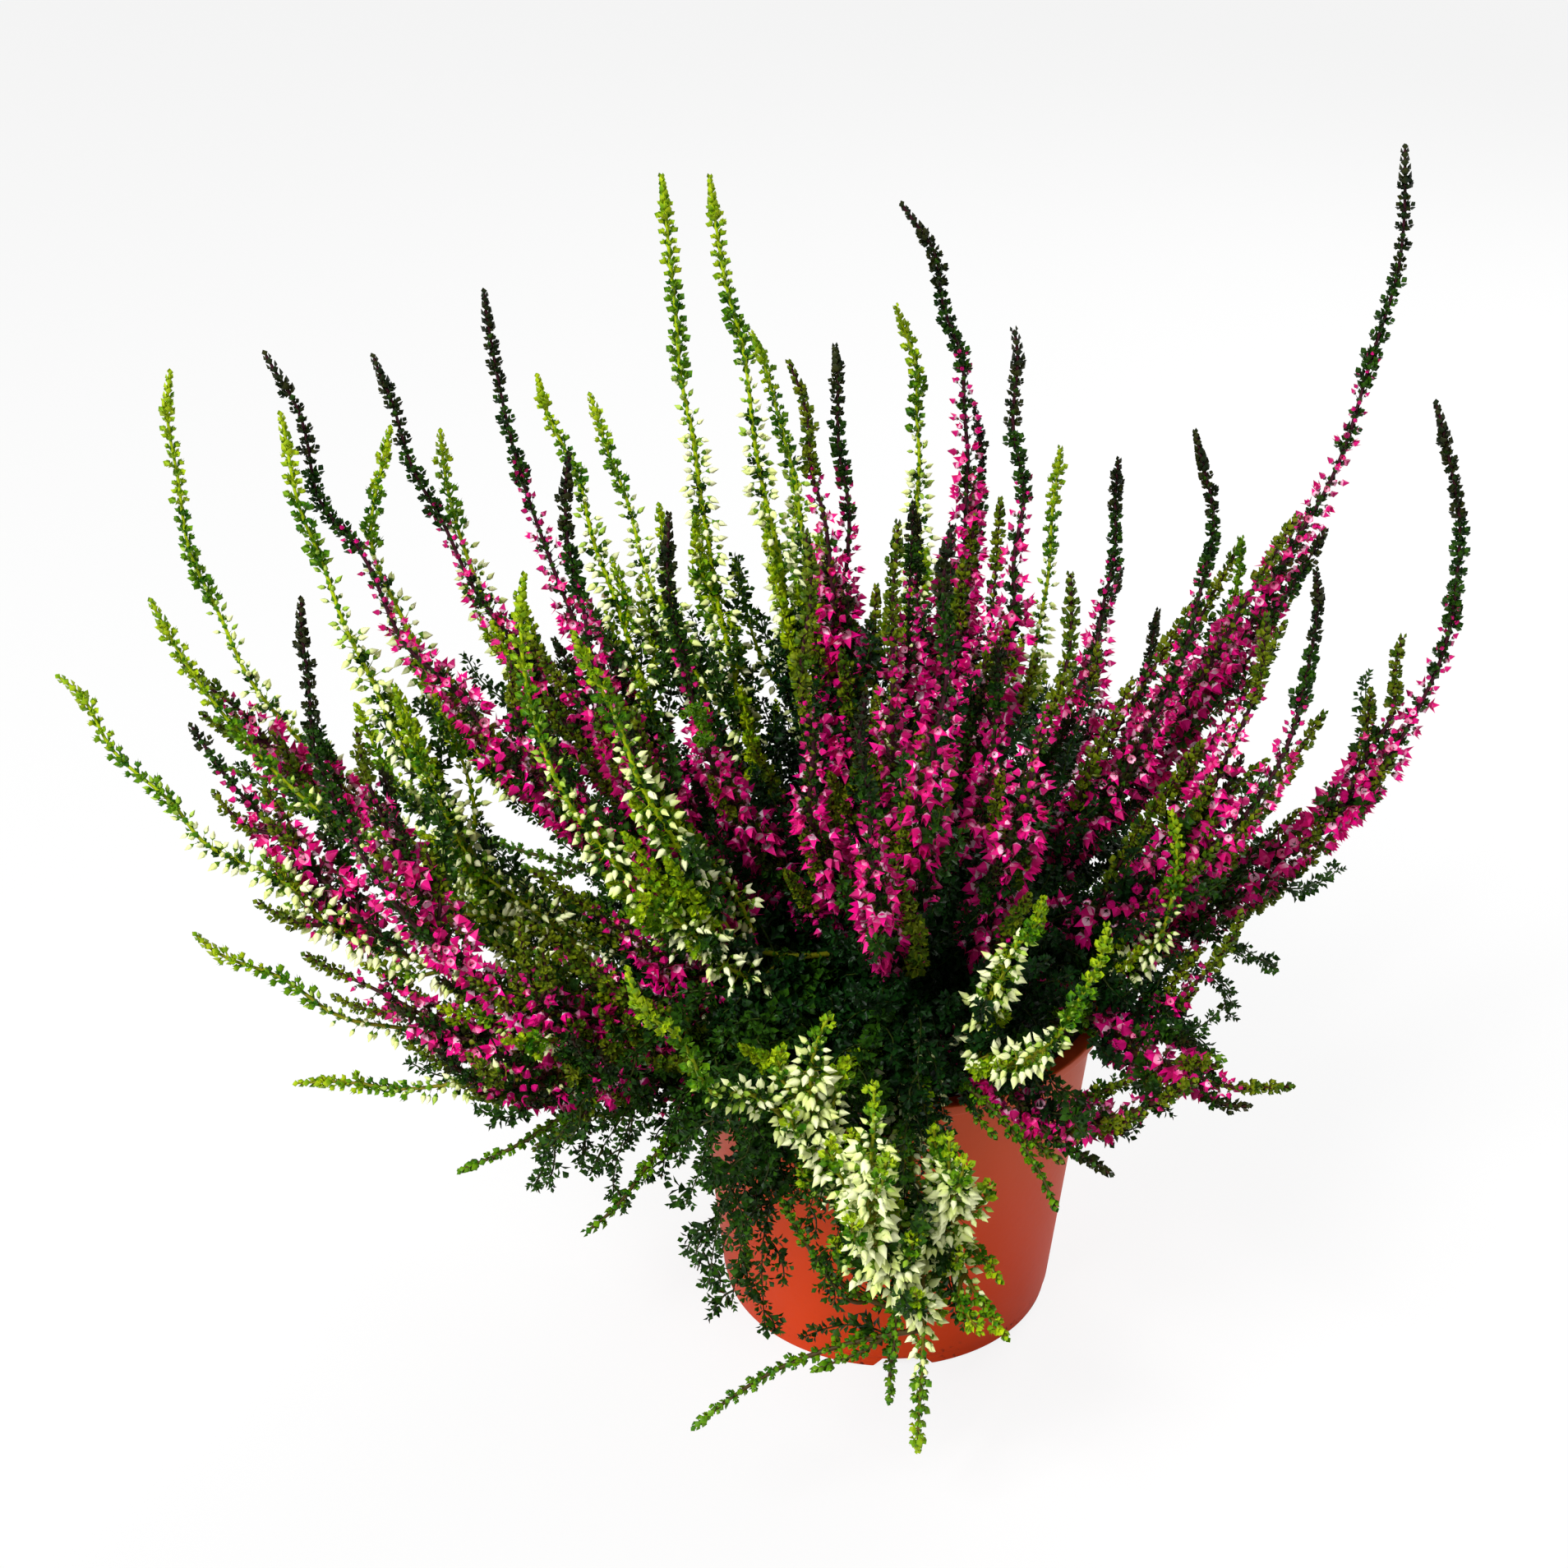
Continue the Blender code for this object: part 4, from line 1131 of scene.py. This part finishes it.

# Green sprays
# Low on the long shoots, and from the woody stems themselves, dense leafy twigs fill the plant and lap
# over the pot's rim. Those that end inside the plant get darker green leaves, as painted shade, and those
# outside paler ones.
SPRAY_EVERY = 5.5 * MM
SPRAY_FROM = 0.03
SPRAY_TO = {"pink": 0.34, "white": 0.36, "green": 0.14}
SPRAY_LENGTHS = (12 * MM, 30 * MM)
SPRAY_ANGLE = 50
SPRAY_FADE = 1.5
SPRAY_STRAY = 0.5
SPRAY_STEPS = 8
SPRAY_RADII = (0.36 * MM, 0.2 * MM)
SPRAY_SIDES = 3
SPRIG_EVERY = 2.9 * MM
SPRIG_SIZES = (6.8 * MM, 3.8 * MM)
SPRIG_ANGLE = 40
SPRIG_STRAY = 10
SPRIG_FROM = 0.3 * MM
# Twigs that end within this reach of the middle of the pot's top, in this shape, get the darker leaves of
# painted shade.
PAINTED_SHADE_WITHIN = 94 * MM
PAINTED_SHADE_SHAPE = (1, 1, 0.8)
UNDER_PER_STEM = 13
UNDER_FROM = 0.12
UNDER_PART = 0.8
UNDER_SWING = 25
UNDER_RISE = 0.55
UNDER_LEANS = (12, 84)
UNDER_LENGTHS = (28, 70)
RIM_TWIGS = 4
RIM_STARTS = (0.3, 0.95)
RIM_LENGTHS = (38, 78)
FULL_RIM_TWIGS = {"210": 9, "240": 24, "270": 7}
FULL_RIM_LENGTHS = (46, 112)
RIM_LEANS = (56, 80)
RIM_TIP_LEANS = (115, 175)
RIM_SPREAD = 30
FAN_EVERY = 9 * MM
FAN_LENGTHS = (22 * MM, 8 * MM)
FAN_SPREAD = (0.7, 1.2)
FAN_STRAY = 0.6
RIM_ROOM = 2.5 * MM
FLOOR_ROOM = 4 * MM


def folded_leaf():
    """A broad scale leaf folded along its middle, in two faces."""
    points = [(0, 0, 0), (-0.36, -0.04, 0.58), (0.36, -0.04, 0.58), (0, 0.24, 1)]
    return Template(points, [(0, 3, 1), (0, 2, 3)])


SPRIG = leaves_on_axis(folded_leaf(), 3, 0.52, 46, 16, 0.03)


def clear_of_pot(points):
    """True where a twig stays off the ground, outside the pot's wall and above the soil."""
    far = np.hypot(points[:, 0], points[:, 1])
    high = points[:, 2]
    by_wall = (far < LIP_R + RIM_ROOM) & (far > SOIL_FLAT_R) & (high < POT_H + RIM_ROOM)
    in_soil = (far < SOIL_FLAT_R) & (high < SOIL_TOP + RIM_ROOM)
    return high.min() > FLOOR_ROOM and not by_wall.any() and not in_soil.any()


def add_spray(points, sprays):
    """Keeps a twig that is clear of the pot, and says whether it was."""
    free = clear_of_pot(points)
    if free:
        # Twigs whose tips end near the middle of the plant get the darker leaves as painted shade, the rest
        # the paler middle green.
        inside = np.linalg.norm((points[-1] - (0, 0, POT_H)) * PAINTED_SHADE_SHAPE) < PAINTED_SHADE_WITHIN
        sprays.append(Shoot(points, "deep" if inside else "mid", 1, SPRAY_RADII, SPRAY_SIDES))
    return free


def grow_sprays(parent, sprays, draw):
    """Leafy twigs all round the lower part of a long shoot."""
    reach = SPRAY_TO[parent.kind] - SPRAY_FROM
    count = int(parent.length * reach / SPRAY_EVERY)
    for i in range(count):
        t = SPRAY_FROM + reach * (i + draw.random()) / count
        length = draw.uniform(*SPRAY_LENGTHS)
        turn = radians(GOLDEN * i) + draw.uniform(-SPRAY_STRAY, SPRAY_STRAY)
        points = side_path(parent, t, length, turn, SPRAY_ANGLE, SPRAY_FADE, SPRAY_STEPS)
        add_spray(points, sprays)


def grow_undergrowth(foot, bearing, lean, length, sprays, draw):
    """Leafy twigs that rise from a woody stem, all round it and all the way up."""
    axis = heading(bearing, lean)
    for i in range(UNDER_PER_STEM):
        start = foot + axis * length * (UNDER_FROM + UNDER_PART * i / UNDER_PER_STEM)
        lean = draw.uniform(*UNDER_LEANS)
        course = (GOLDEN * i + bearing, draw.uniform(-UNDER_SWING, UNDER_SWING), lean, lean * UNDER_RISE)
        points = long_path(start, *course, draw.uniform(*UNDER_LENGTHS), SPRAY_STEPS, draw)
        add_spray(points, sprays)


def grow_fan(twig, sprays, draw):
    """Short twigs to both sides of a longer one, shorter towards its tip."""
    count = int(twig.length / FAN_EVERY)
    for i in range(count):
        share = (i + 0.5) / count
        length = between(FAN_LENGTHS, share) * draw.uniform(*FAN_SPREAD)
        turn = pi * i + draw.uniform(-FAN_STRAY, FAN_STRAY)
        points = side_path(twig, share, length, turn, SPRAY_ANGLE, SPRAY_FADE, SPRAY_STEPS // 2)
        add_spray(points, sprays)


def grow_rim_twigs(count, lengths, foot, bearing, lean, length, sprays, draw):
    """Leafy twigs that arch from an outer stem over the pot's rim and hang in front of its wall."""
    axis = heading(bearing, lean)
    spread = 360 / OUTER_STEMS[0]
    for i in range(count):
        start = foot + axis * length * draw.uniform(*RIM_STARTS)
        way = bearing + spread * ((i + 0.5) / count - 0.5)
        swing = draw.uniform(-RIM_SPREAD, RIM_SPREAD)
        course = (way, swing, draw.uniform(*RIM_LEANS), draw.uniform(*RIM_TIP_LEANS))
        points = long_path(start, *course, draw.uniform(*lengths), 2 * SPRAY_STEPS, draw)
        if add_spray(points, sprays):
            grow_fan(sprays[-1], sprays, draw)


def grow_sprigs(spray, sprigs, draw):
    """Pairs of leafy sprigs all along a twig."""
    spots = nodes_between(SPRIG_FROM, spray.length, SPRIG_EVERY, draw)
    rows = set_round(spray, spots, 2, SPRIG_ANGLE, draw, SPRIG_STRAY)
    sizes = between(SPRIG_SIZES, np.repeat(1 - spots / spray.length, 2))
    sprigs.add(spray.kind, *rows, sizes * draw.uniform(*SIZE_SPREAD, 2 * len(spots)))


spray_draw = np.random.default_rng(53)
SPRAYS, SPRIGS = [], Harvest()
for shoot in LONG_SHOOTS:
    grow_sprays(shoot, SPRAYS, spray_draw)
for name, row in STEMS.items():
    grow_undergrowth(*row, SPRAYS, spray_draw)
    if name in FULL_RIM_TWIGS:
        grow_rim_twigs(FULL_RIM_TWIGS[name], FULL_RIM_LENGTHS, *row, SPRAYS, spray_draw)
    elif not name.startswith("inner"):
        grow_rim_twigs(RIM_TWIGS, RIM_LENGTHS, *row, SPRAYS, spray_draw)
for spray in SPRAYS:
    grow_sprigs(spray, SPRIGS, spray_draw)
spray_twigs = mesh_from("spray_twigs", *joined([spray.stalk() for spray in SPRAYS]))
twig_finish = stalk_finish("spray twig", paint(50, 84, 4), paint(44, 46, 12))
add_piece("spray_twigs", spray_twigs, twig_finish, "green_heather")
for name in sorted(SPRIGS.rows):
    SPRIGS.add_piece(name, SPRIG, f"sprays_{name}", *LEAF_FINISHES[name])

# Pink flowers
# Each flower nods on a thread-like stalk: four pointed sepals, magenta with a pale foot, over a
# cup of green-brown bracts. They open from the bottom of the shoot up, and are buds near its tip.
FLOWER_EVERY = 2.4 * MM
FLOWER_SIZES = (1.7 * MM, 4.3 * MM)
FLOWER_SPREAD = (0.85, 1.15)
SHUT_TO = 0.3
OPENNESS = {"shut": (0.04, 1), "half": (0.34, 0.98), "open": (0.72, 0.8)}
FORM_SHARES = (0.3, 0.36, 0.34)
SECOND_FROM = 0.55
SECOND_STEP = 1.2 * MM
FLOWER_STRAY = 0.3
STALK_STRAY = 12
STALK_SPREAD = (0.6, 1.45)
DROOP_SPREAD = (0.2, 1.8)
THREAD_REACH = 1.15


def four_round(corners, faces, start=0):
    """Four like scales round the z axis: a corner says how far out, how far across and how high."""
    parts = []
    for quarter in range(4):
        turn = quarter * pi / 2 + start
        axes = np.array([(cos(turn), sin(turn), 0), (-sin(turn), cos(turn), 0), (0, 0, 1)])
        parts.append((np.array(corners) @ axes, np.array(faces)))
    return Template(*joined(parts))


def sepals(openness, reach, tip_only):
    """Four pointed sepals, each in four faces: the two of its pale foot or of its tip."""
    corners = [(0.05, 0, 0.06), (0.22, -0.27, 0.4), (0.22, 0.27, 0.4), (0.3, 0, 0.36), (openness, 0, reach)]
    return four_round(corners, [(1, 3, 4), (3, 2, 4)] if tip_only else [(0, 3, 1), (0, 2, 3)])


def bract_cup():
    """Four small bracts that hug the foot of a flower, between the sepals."""
    corners = [(0, 0, -0.1), (0.15, -0.13, 0.06), (0.15, 0.13, 0.06), (0.22, 0, 0.24)]
    return four_round(corners, [(0, 2, 1), (1, 2, 3)], pi / 4)


def droop(ways, outers, amount):
    """Turns directions down by their own weight and keeps the outer sides square to them."""
    ways = unit(ways + np.array([0, 0, -1]) * np.reshape(amount, (-1, 1)))
    outers = outers - ways * (outers * ways).sum(axis=1, keepdims=True)
    return ways, unit(outers)


class Habit:
    """How flowers or buds sit on a shoot: from where, how steeply, on what stalks and how they nod."""

    def __init__(self, start, full, bare, angles, stalks, nod):
        self.start = start
        self.full = full
        self.bare = bare
        self.angles = angles
        self.stalks = stalks
        self.nod = nod

    def rows(self, shoot, every, threads, draw):
        """Place, way, side and ripeness of each flower: at every node, then again where they crowd."""
        size = zone(shoot)
        spots = nodes_between(self.start * size, shoot.length * (1 - self.bare), every, draw, FLOWER_STRAY)
        ripe = np.clip((spots - self.start * size) / ((self.full - self.start) * size), 0, 1)
        for least, step in ((0, 0), (SECOND_FROM, SECOND_STEP)):
            at, share = spots[ripe >= least] + step, ripe[ripe >= least]
            angles = between(self.angles, share)
            places, ways, outers = set_round(shoot, at, 2, angles, draw, STALK_STRAY)
            share = np.repeat(share, 2)
            lengths = between(self.stalks, share) * draw.uniform(*STALK_SPREAD, len(share))
            threads.add(shoot.kind, places, ways, outers, lengths * THREAD_REACH)
            places = places + ways * lengths[:, None]
            nods = self.nod * share * draw.uniform(*DROOP_SPREAD, len(share))
            yield places, *droop(ways, outers, nods), share


FLOWER_HABIT = Habit(38 * MM, 100 * MM, 0.04, (40, 76), (1.0 * MM, 3.0 * MM), 0.55)


def grow_flowers(shoot, flowers, threads, draw):
    """Flowers in pairs down a pink shoot, dealt out by how far they are open."""
    for *rows, share in FLOWER_HABIT.rows(shoot, FLOWER_EVERY, threads, draw):
        sizes = between(FLOWER_SIZES, share) * draw.uniform(*FLOWER_SPREAD, len(share))
        forms = draw.choice(list(OPENNESS), len(share), p=FORM_SHARES)
        forms[share < SHUT_TO] = "shut"
        for form in OPENNESS:
            chosen = forms == form
            flowers.add(form, *(row[chosen] for row in rows), sizes[chosen])


def petal_finish(name, *colours):
    """Papery sepal, whose colour goes off a little from flower to flower."""
    sizes = {"patches": 6 * MM, "detail": 1, "grain": 0.35 * MM, "depth": 0.06 * MM}
    return patchy_finish(name, colours, roughness=0.55, **sizes)


flower_draw = np.random.default_rng(67)
FLOWERS, THREADS = Harvest(), Harvest()
for shoot in ALL_SHOOTS:
    if shoot.kind == "pink":
        grow_flowers(shoot, FLOWERS, THREADS, flower_draw)
magenta = petal_finish("magenta sepal", paint(236, 0, 136), paint(198, 0, 100))
rose = petal_finish("rose sepal", paint(214, 4, 120), paint(164, 0, 84))
pale = petal_finish("pale sepal foot", paint(255, 214, 234), paint(236, 40, 144))
bract = leaf_finish("green brown bract", paint(58, 66, 6), paint(88, 40, 26))
for form, tip in (("shut", rose), ("half", magenta), ("open", magenta)):
    for word, template, finish in (
        ("sepals", sepals(*OPENNESS[form], True), tip),
        ("sepal_feet", sepals(*OPENNESS[form], False), pale),
        ("bracts", bract_cup(), bract),
    ):
        FLOWERS.add_piece(form, template, f"{word}_{form}", finish, "pink_heather")
THREADS.add_piece("pink", THREAD, "flower_stalks", STALK_FINISHES["pink"], "pink_heather")

# White buds
# The white kind is a bud bloomer: its flowers stay shut, as smooth pointed drops. They are small
# and greenish near the tip, and cream white and crowded lower down, each on a short stalk.
BUD_EVERY = 2.7 * MM
BUD_SIZES = (2.1 * MM, 3.8 * MM)
BUD_SPREAD = (0.8, 1.15)
BUD_SIDES = 5
BUD_HABIT = Habit(32 * MM, 78 * MM, 0.16, (44, 74), (0.6 * MM, 2.3 * MM), 0.5)
RIPE_BUD_GAIN = 0.14
CREAM_FROM = (0.15, 0.75)


def bud_rings(rings):
    """A drop through rings of (height, radius)."""
    turn = np.arange(BUD_SIDES) * 2 * pi / BUD_SIDES
    return Template(
        np.concatenate([about_axis(radius, turn, height) for height, radius in rings]),
        grid_faces(len(rings), BUD_SIDES),
    )


BUD_BODY = bud_rings([(0.16, 0.16), (0.5, 0.25), (1.0, 0.01)])
BUD_FOOT = bud_rings([(-0.04, 0.02), (0.27, 0.235)])


def grow_buds(shoot, buds, threads, draw):
    """Shut buds in pairs down a white shoot, dealt out by how ripe they are."""
    for *rows, share in BUD_HABIT.rows(shoot, BUD_EVERY / shoot.ripe, threads, draw):
        sizes = between(BUD_SIZES, share) * (1 + RIPE_BUD_GAIN * (shoot.ripe - 1))
        sizes = sizes * draw.uniform(*BUD_SPREAD, len(share))
        cream = share > draw.uniform(*CREAM_FROM, len(share)) / shoot.ripe
        for name, chosen in (("cream", cream), ("greenish", ~cream)):
            buds.add(name, *(row[chosen] for row in rows), sizes[chosen])


bud_draw = np.random.default_rng(71)
BUDS = Harvest()
for shoot in ALL_SHOOTS:
    if shoot.kind == "white":
        grow_buds(shoot, BUDS, THREADS, bud_draw)
cream = petal_finish("cream bud", paint(244, 248, 198), paint(222, 234, 142))
greenish = petal_finish("greenish bud", paint(180, 208, 90), paint(146, 184, 48))
bud_foot = leaf_finish("green bud foot", paint(116, 158, 20), paint(76, 124, 10))
for name, finish in (("cream", cream), ("greenish", greenish)):
    BUDS.add_piece(name, BUD_BODY, f"buds_{name}", finish, "white_heather", smooth=True)
    BUDS.add_piece(name, BUD_FOOT, f"bud_feet_{name}", bud_foot, "white_heather", smooth=True)
THREADS.add_piece("white", THREAD, "bud_stalks", STALK_FINISHES["white"], "white_heather")

# Floor, light and camera
# A plain white table in a white room, with a soft lamp above and to the left and a weaker one
# behind, to the right. The camera looks down at the front of the plant, as in the photo.
FLOOR_R = 6.0
FLOOR_SIDES = 96
FLOOR_GLOW = 0.85
LAMPS = {
    "large soft lamp": ((-0.7, -0.9, 1.3), 0.5, 28),
    "back lamp": ((0.7, 0.9, 1.0), 0.6, 12),
}
LAMP_AIM = (0, 0, 0.15)
ROOM_LIGHT = 0.36
CAMERA_PLACE = (-0.031, -0.583, 0.471)
CAMERA_PITCH = 62.3
LENS = 55


def add_floor():
    """A white table that the camera sees as bright as the room, with only a faint shadow."""
    form = bmesh.new()
    bmesh.ops.create_circle(form, segments=FLOOR_SIDES, radius=FLOOR_R, cap_ends=True)
    mesh = bpy.data.meshes.new("floor")
    form.to_mesh(mesh)
    form.free()
    floor = bpy.data.objects.new("floor", mesh)
    bpy.context.scene.collection.objects.link(floor)
    finish = Finish("white table", Roughness=0.9, Base_Color=(0.8, 0.8, 0.8, 1))
    glow = finish.node("ShaderNodeEmission", {}, {"Color": (1, 1, 1, 1), "Strength": 1.0})
    seen = finish.node("ShaderNodeLightPath", {}, {}, "Is Camera Ray")
    lit = Wire(finish, finish.shader.outputs[0])
    both = finish.node("ShaderNodeMixShader", {}, {0: seen * FLOOR_GLOW, 1: lit, 2: glow})
    finish.feed(finish.nodes["Material Output"].inputs["Surface"], both)
    mesh.materials.append(finish.material)
    floor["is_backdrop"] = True


def add_lamp(name, place, size, power):
    """A square lamp turned to the plant's middle."""
    data = bpy.data.lights.new(name, "AREA")
    data.size = size
    data.energy = power
    lamp = bpy.data.objects.new(name, data)
    lamp.location = place
    lamp.rotation_euler = (Vector(LAMP_AIM) - lamp.location).to_track_quat("-Z", "Y").to_euler()
    bpy.context.scene.collection.objects.link(lamp)


def make_room():
    """A room that looks white and gives an even, moderate light."""
    world = bpy.data.worlds.new("white room")
    world.use_nodes = True
    tree = world.node_tree
    seen = tree.nodes.new("ShaderNodeLightPath")
    power = tree.nodes.new("ShaderNodeMix")
    tree.links.new(seen.outputs["Is Camera Ray"], power.inputs[0])
    power.inputs[2].default_value = ROOM_LIGHT
    power.inputs[3].default_value = 1
    back = tree.nodes["Background"]
    back.inputs["Color"].default_value = (1, 1, 1, 1)
    tree.links.new(power.outputs[0], back.inputs["Strength"])
    bpy.context.scene.world = world


add_floor()
for name, row in LAMPS.items():
    add_lamp(name, *row)
make_room()
bpy.context.scene.view_settings.view_transform = "Standard"

camera_data = bpy.data.cameras.new("camera")
camera_data.lens = LENS
camera = bpy.data.objects.new("camera", camera_data)
camera.location = CAMERA_PLACE
camera.rotation_euler = (radians(CAMERA_PITCH), 0, 0)
bpy.context.scene.collection.objects.link(camera)
bpy.context.scene.camera = camera

boxes = {"cad": CAD_BOX, "visual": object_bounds()}
{name: [list(corner) for corner in box] for name, box in boxes.items()}
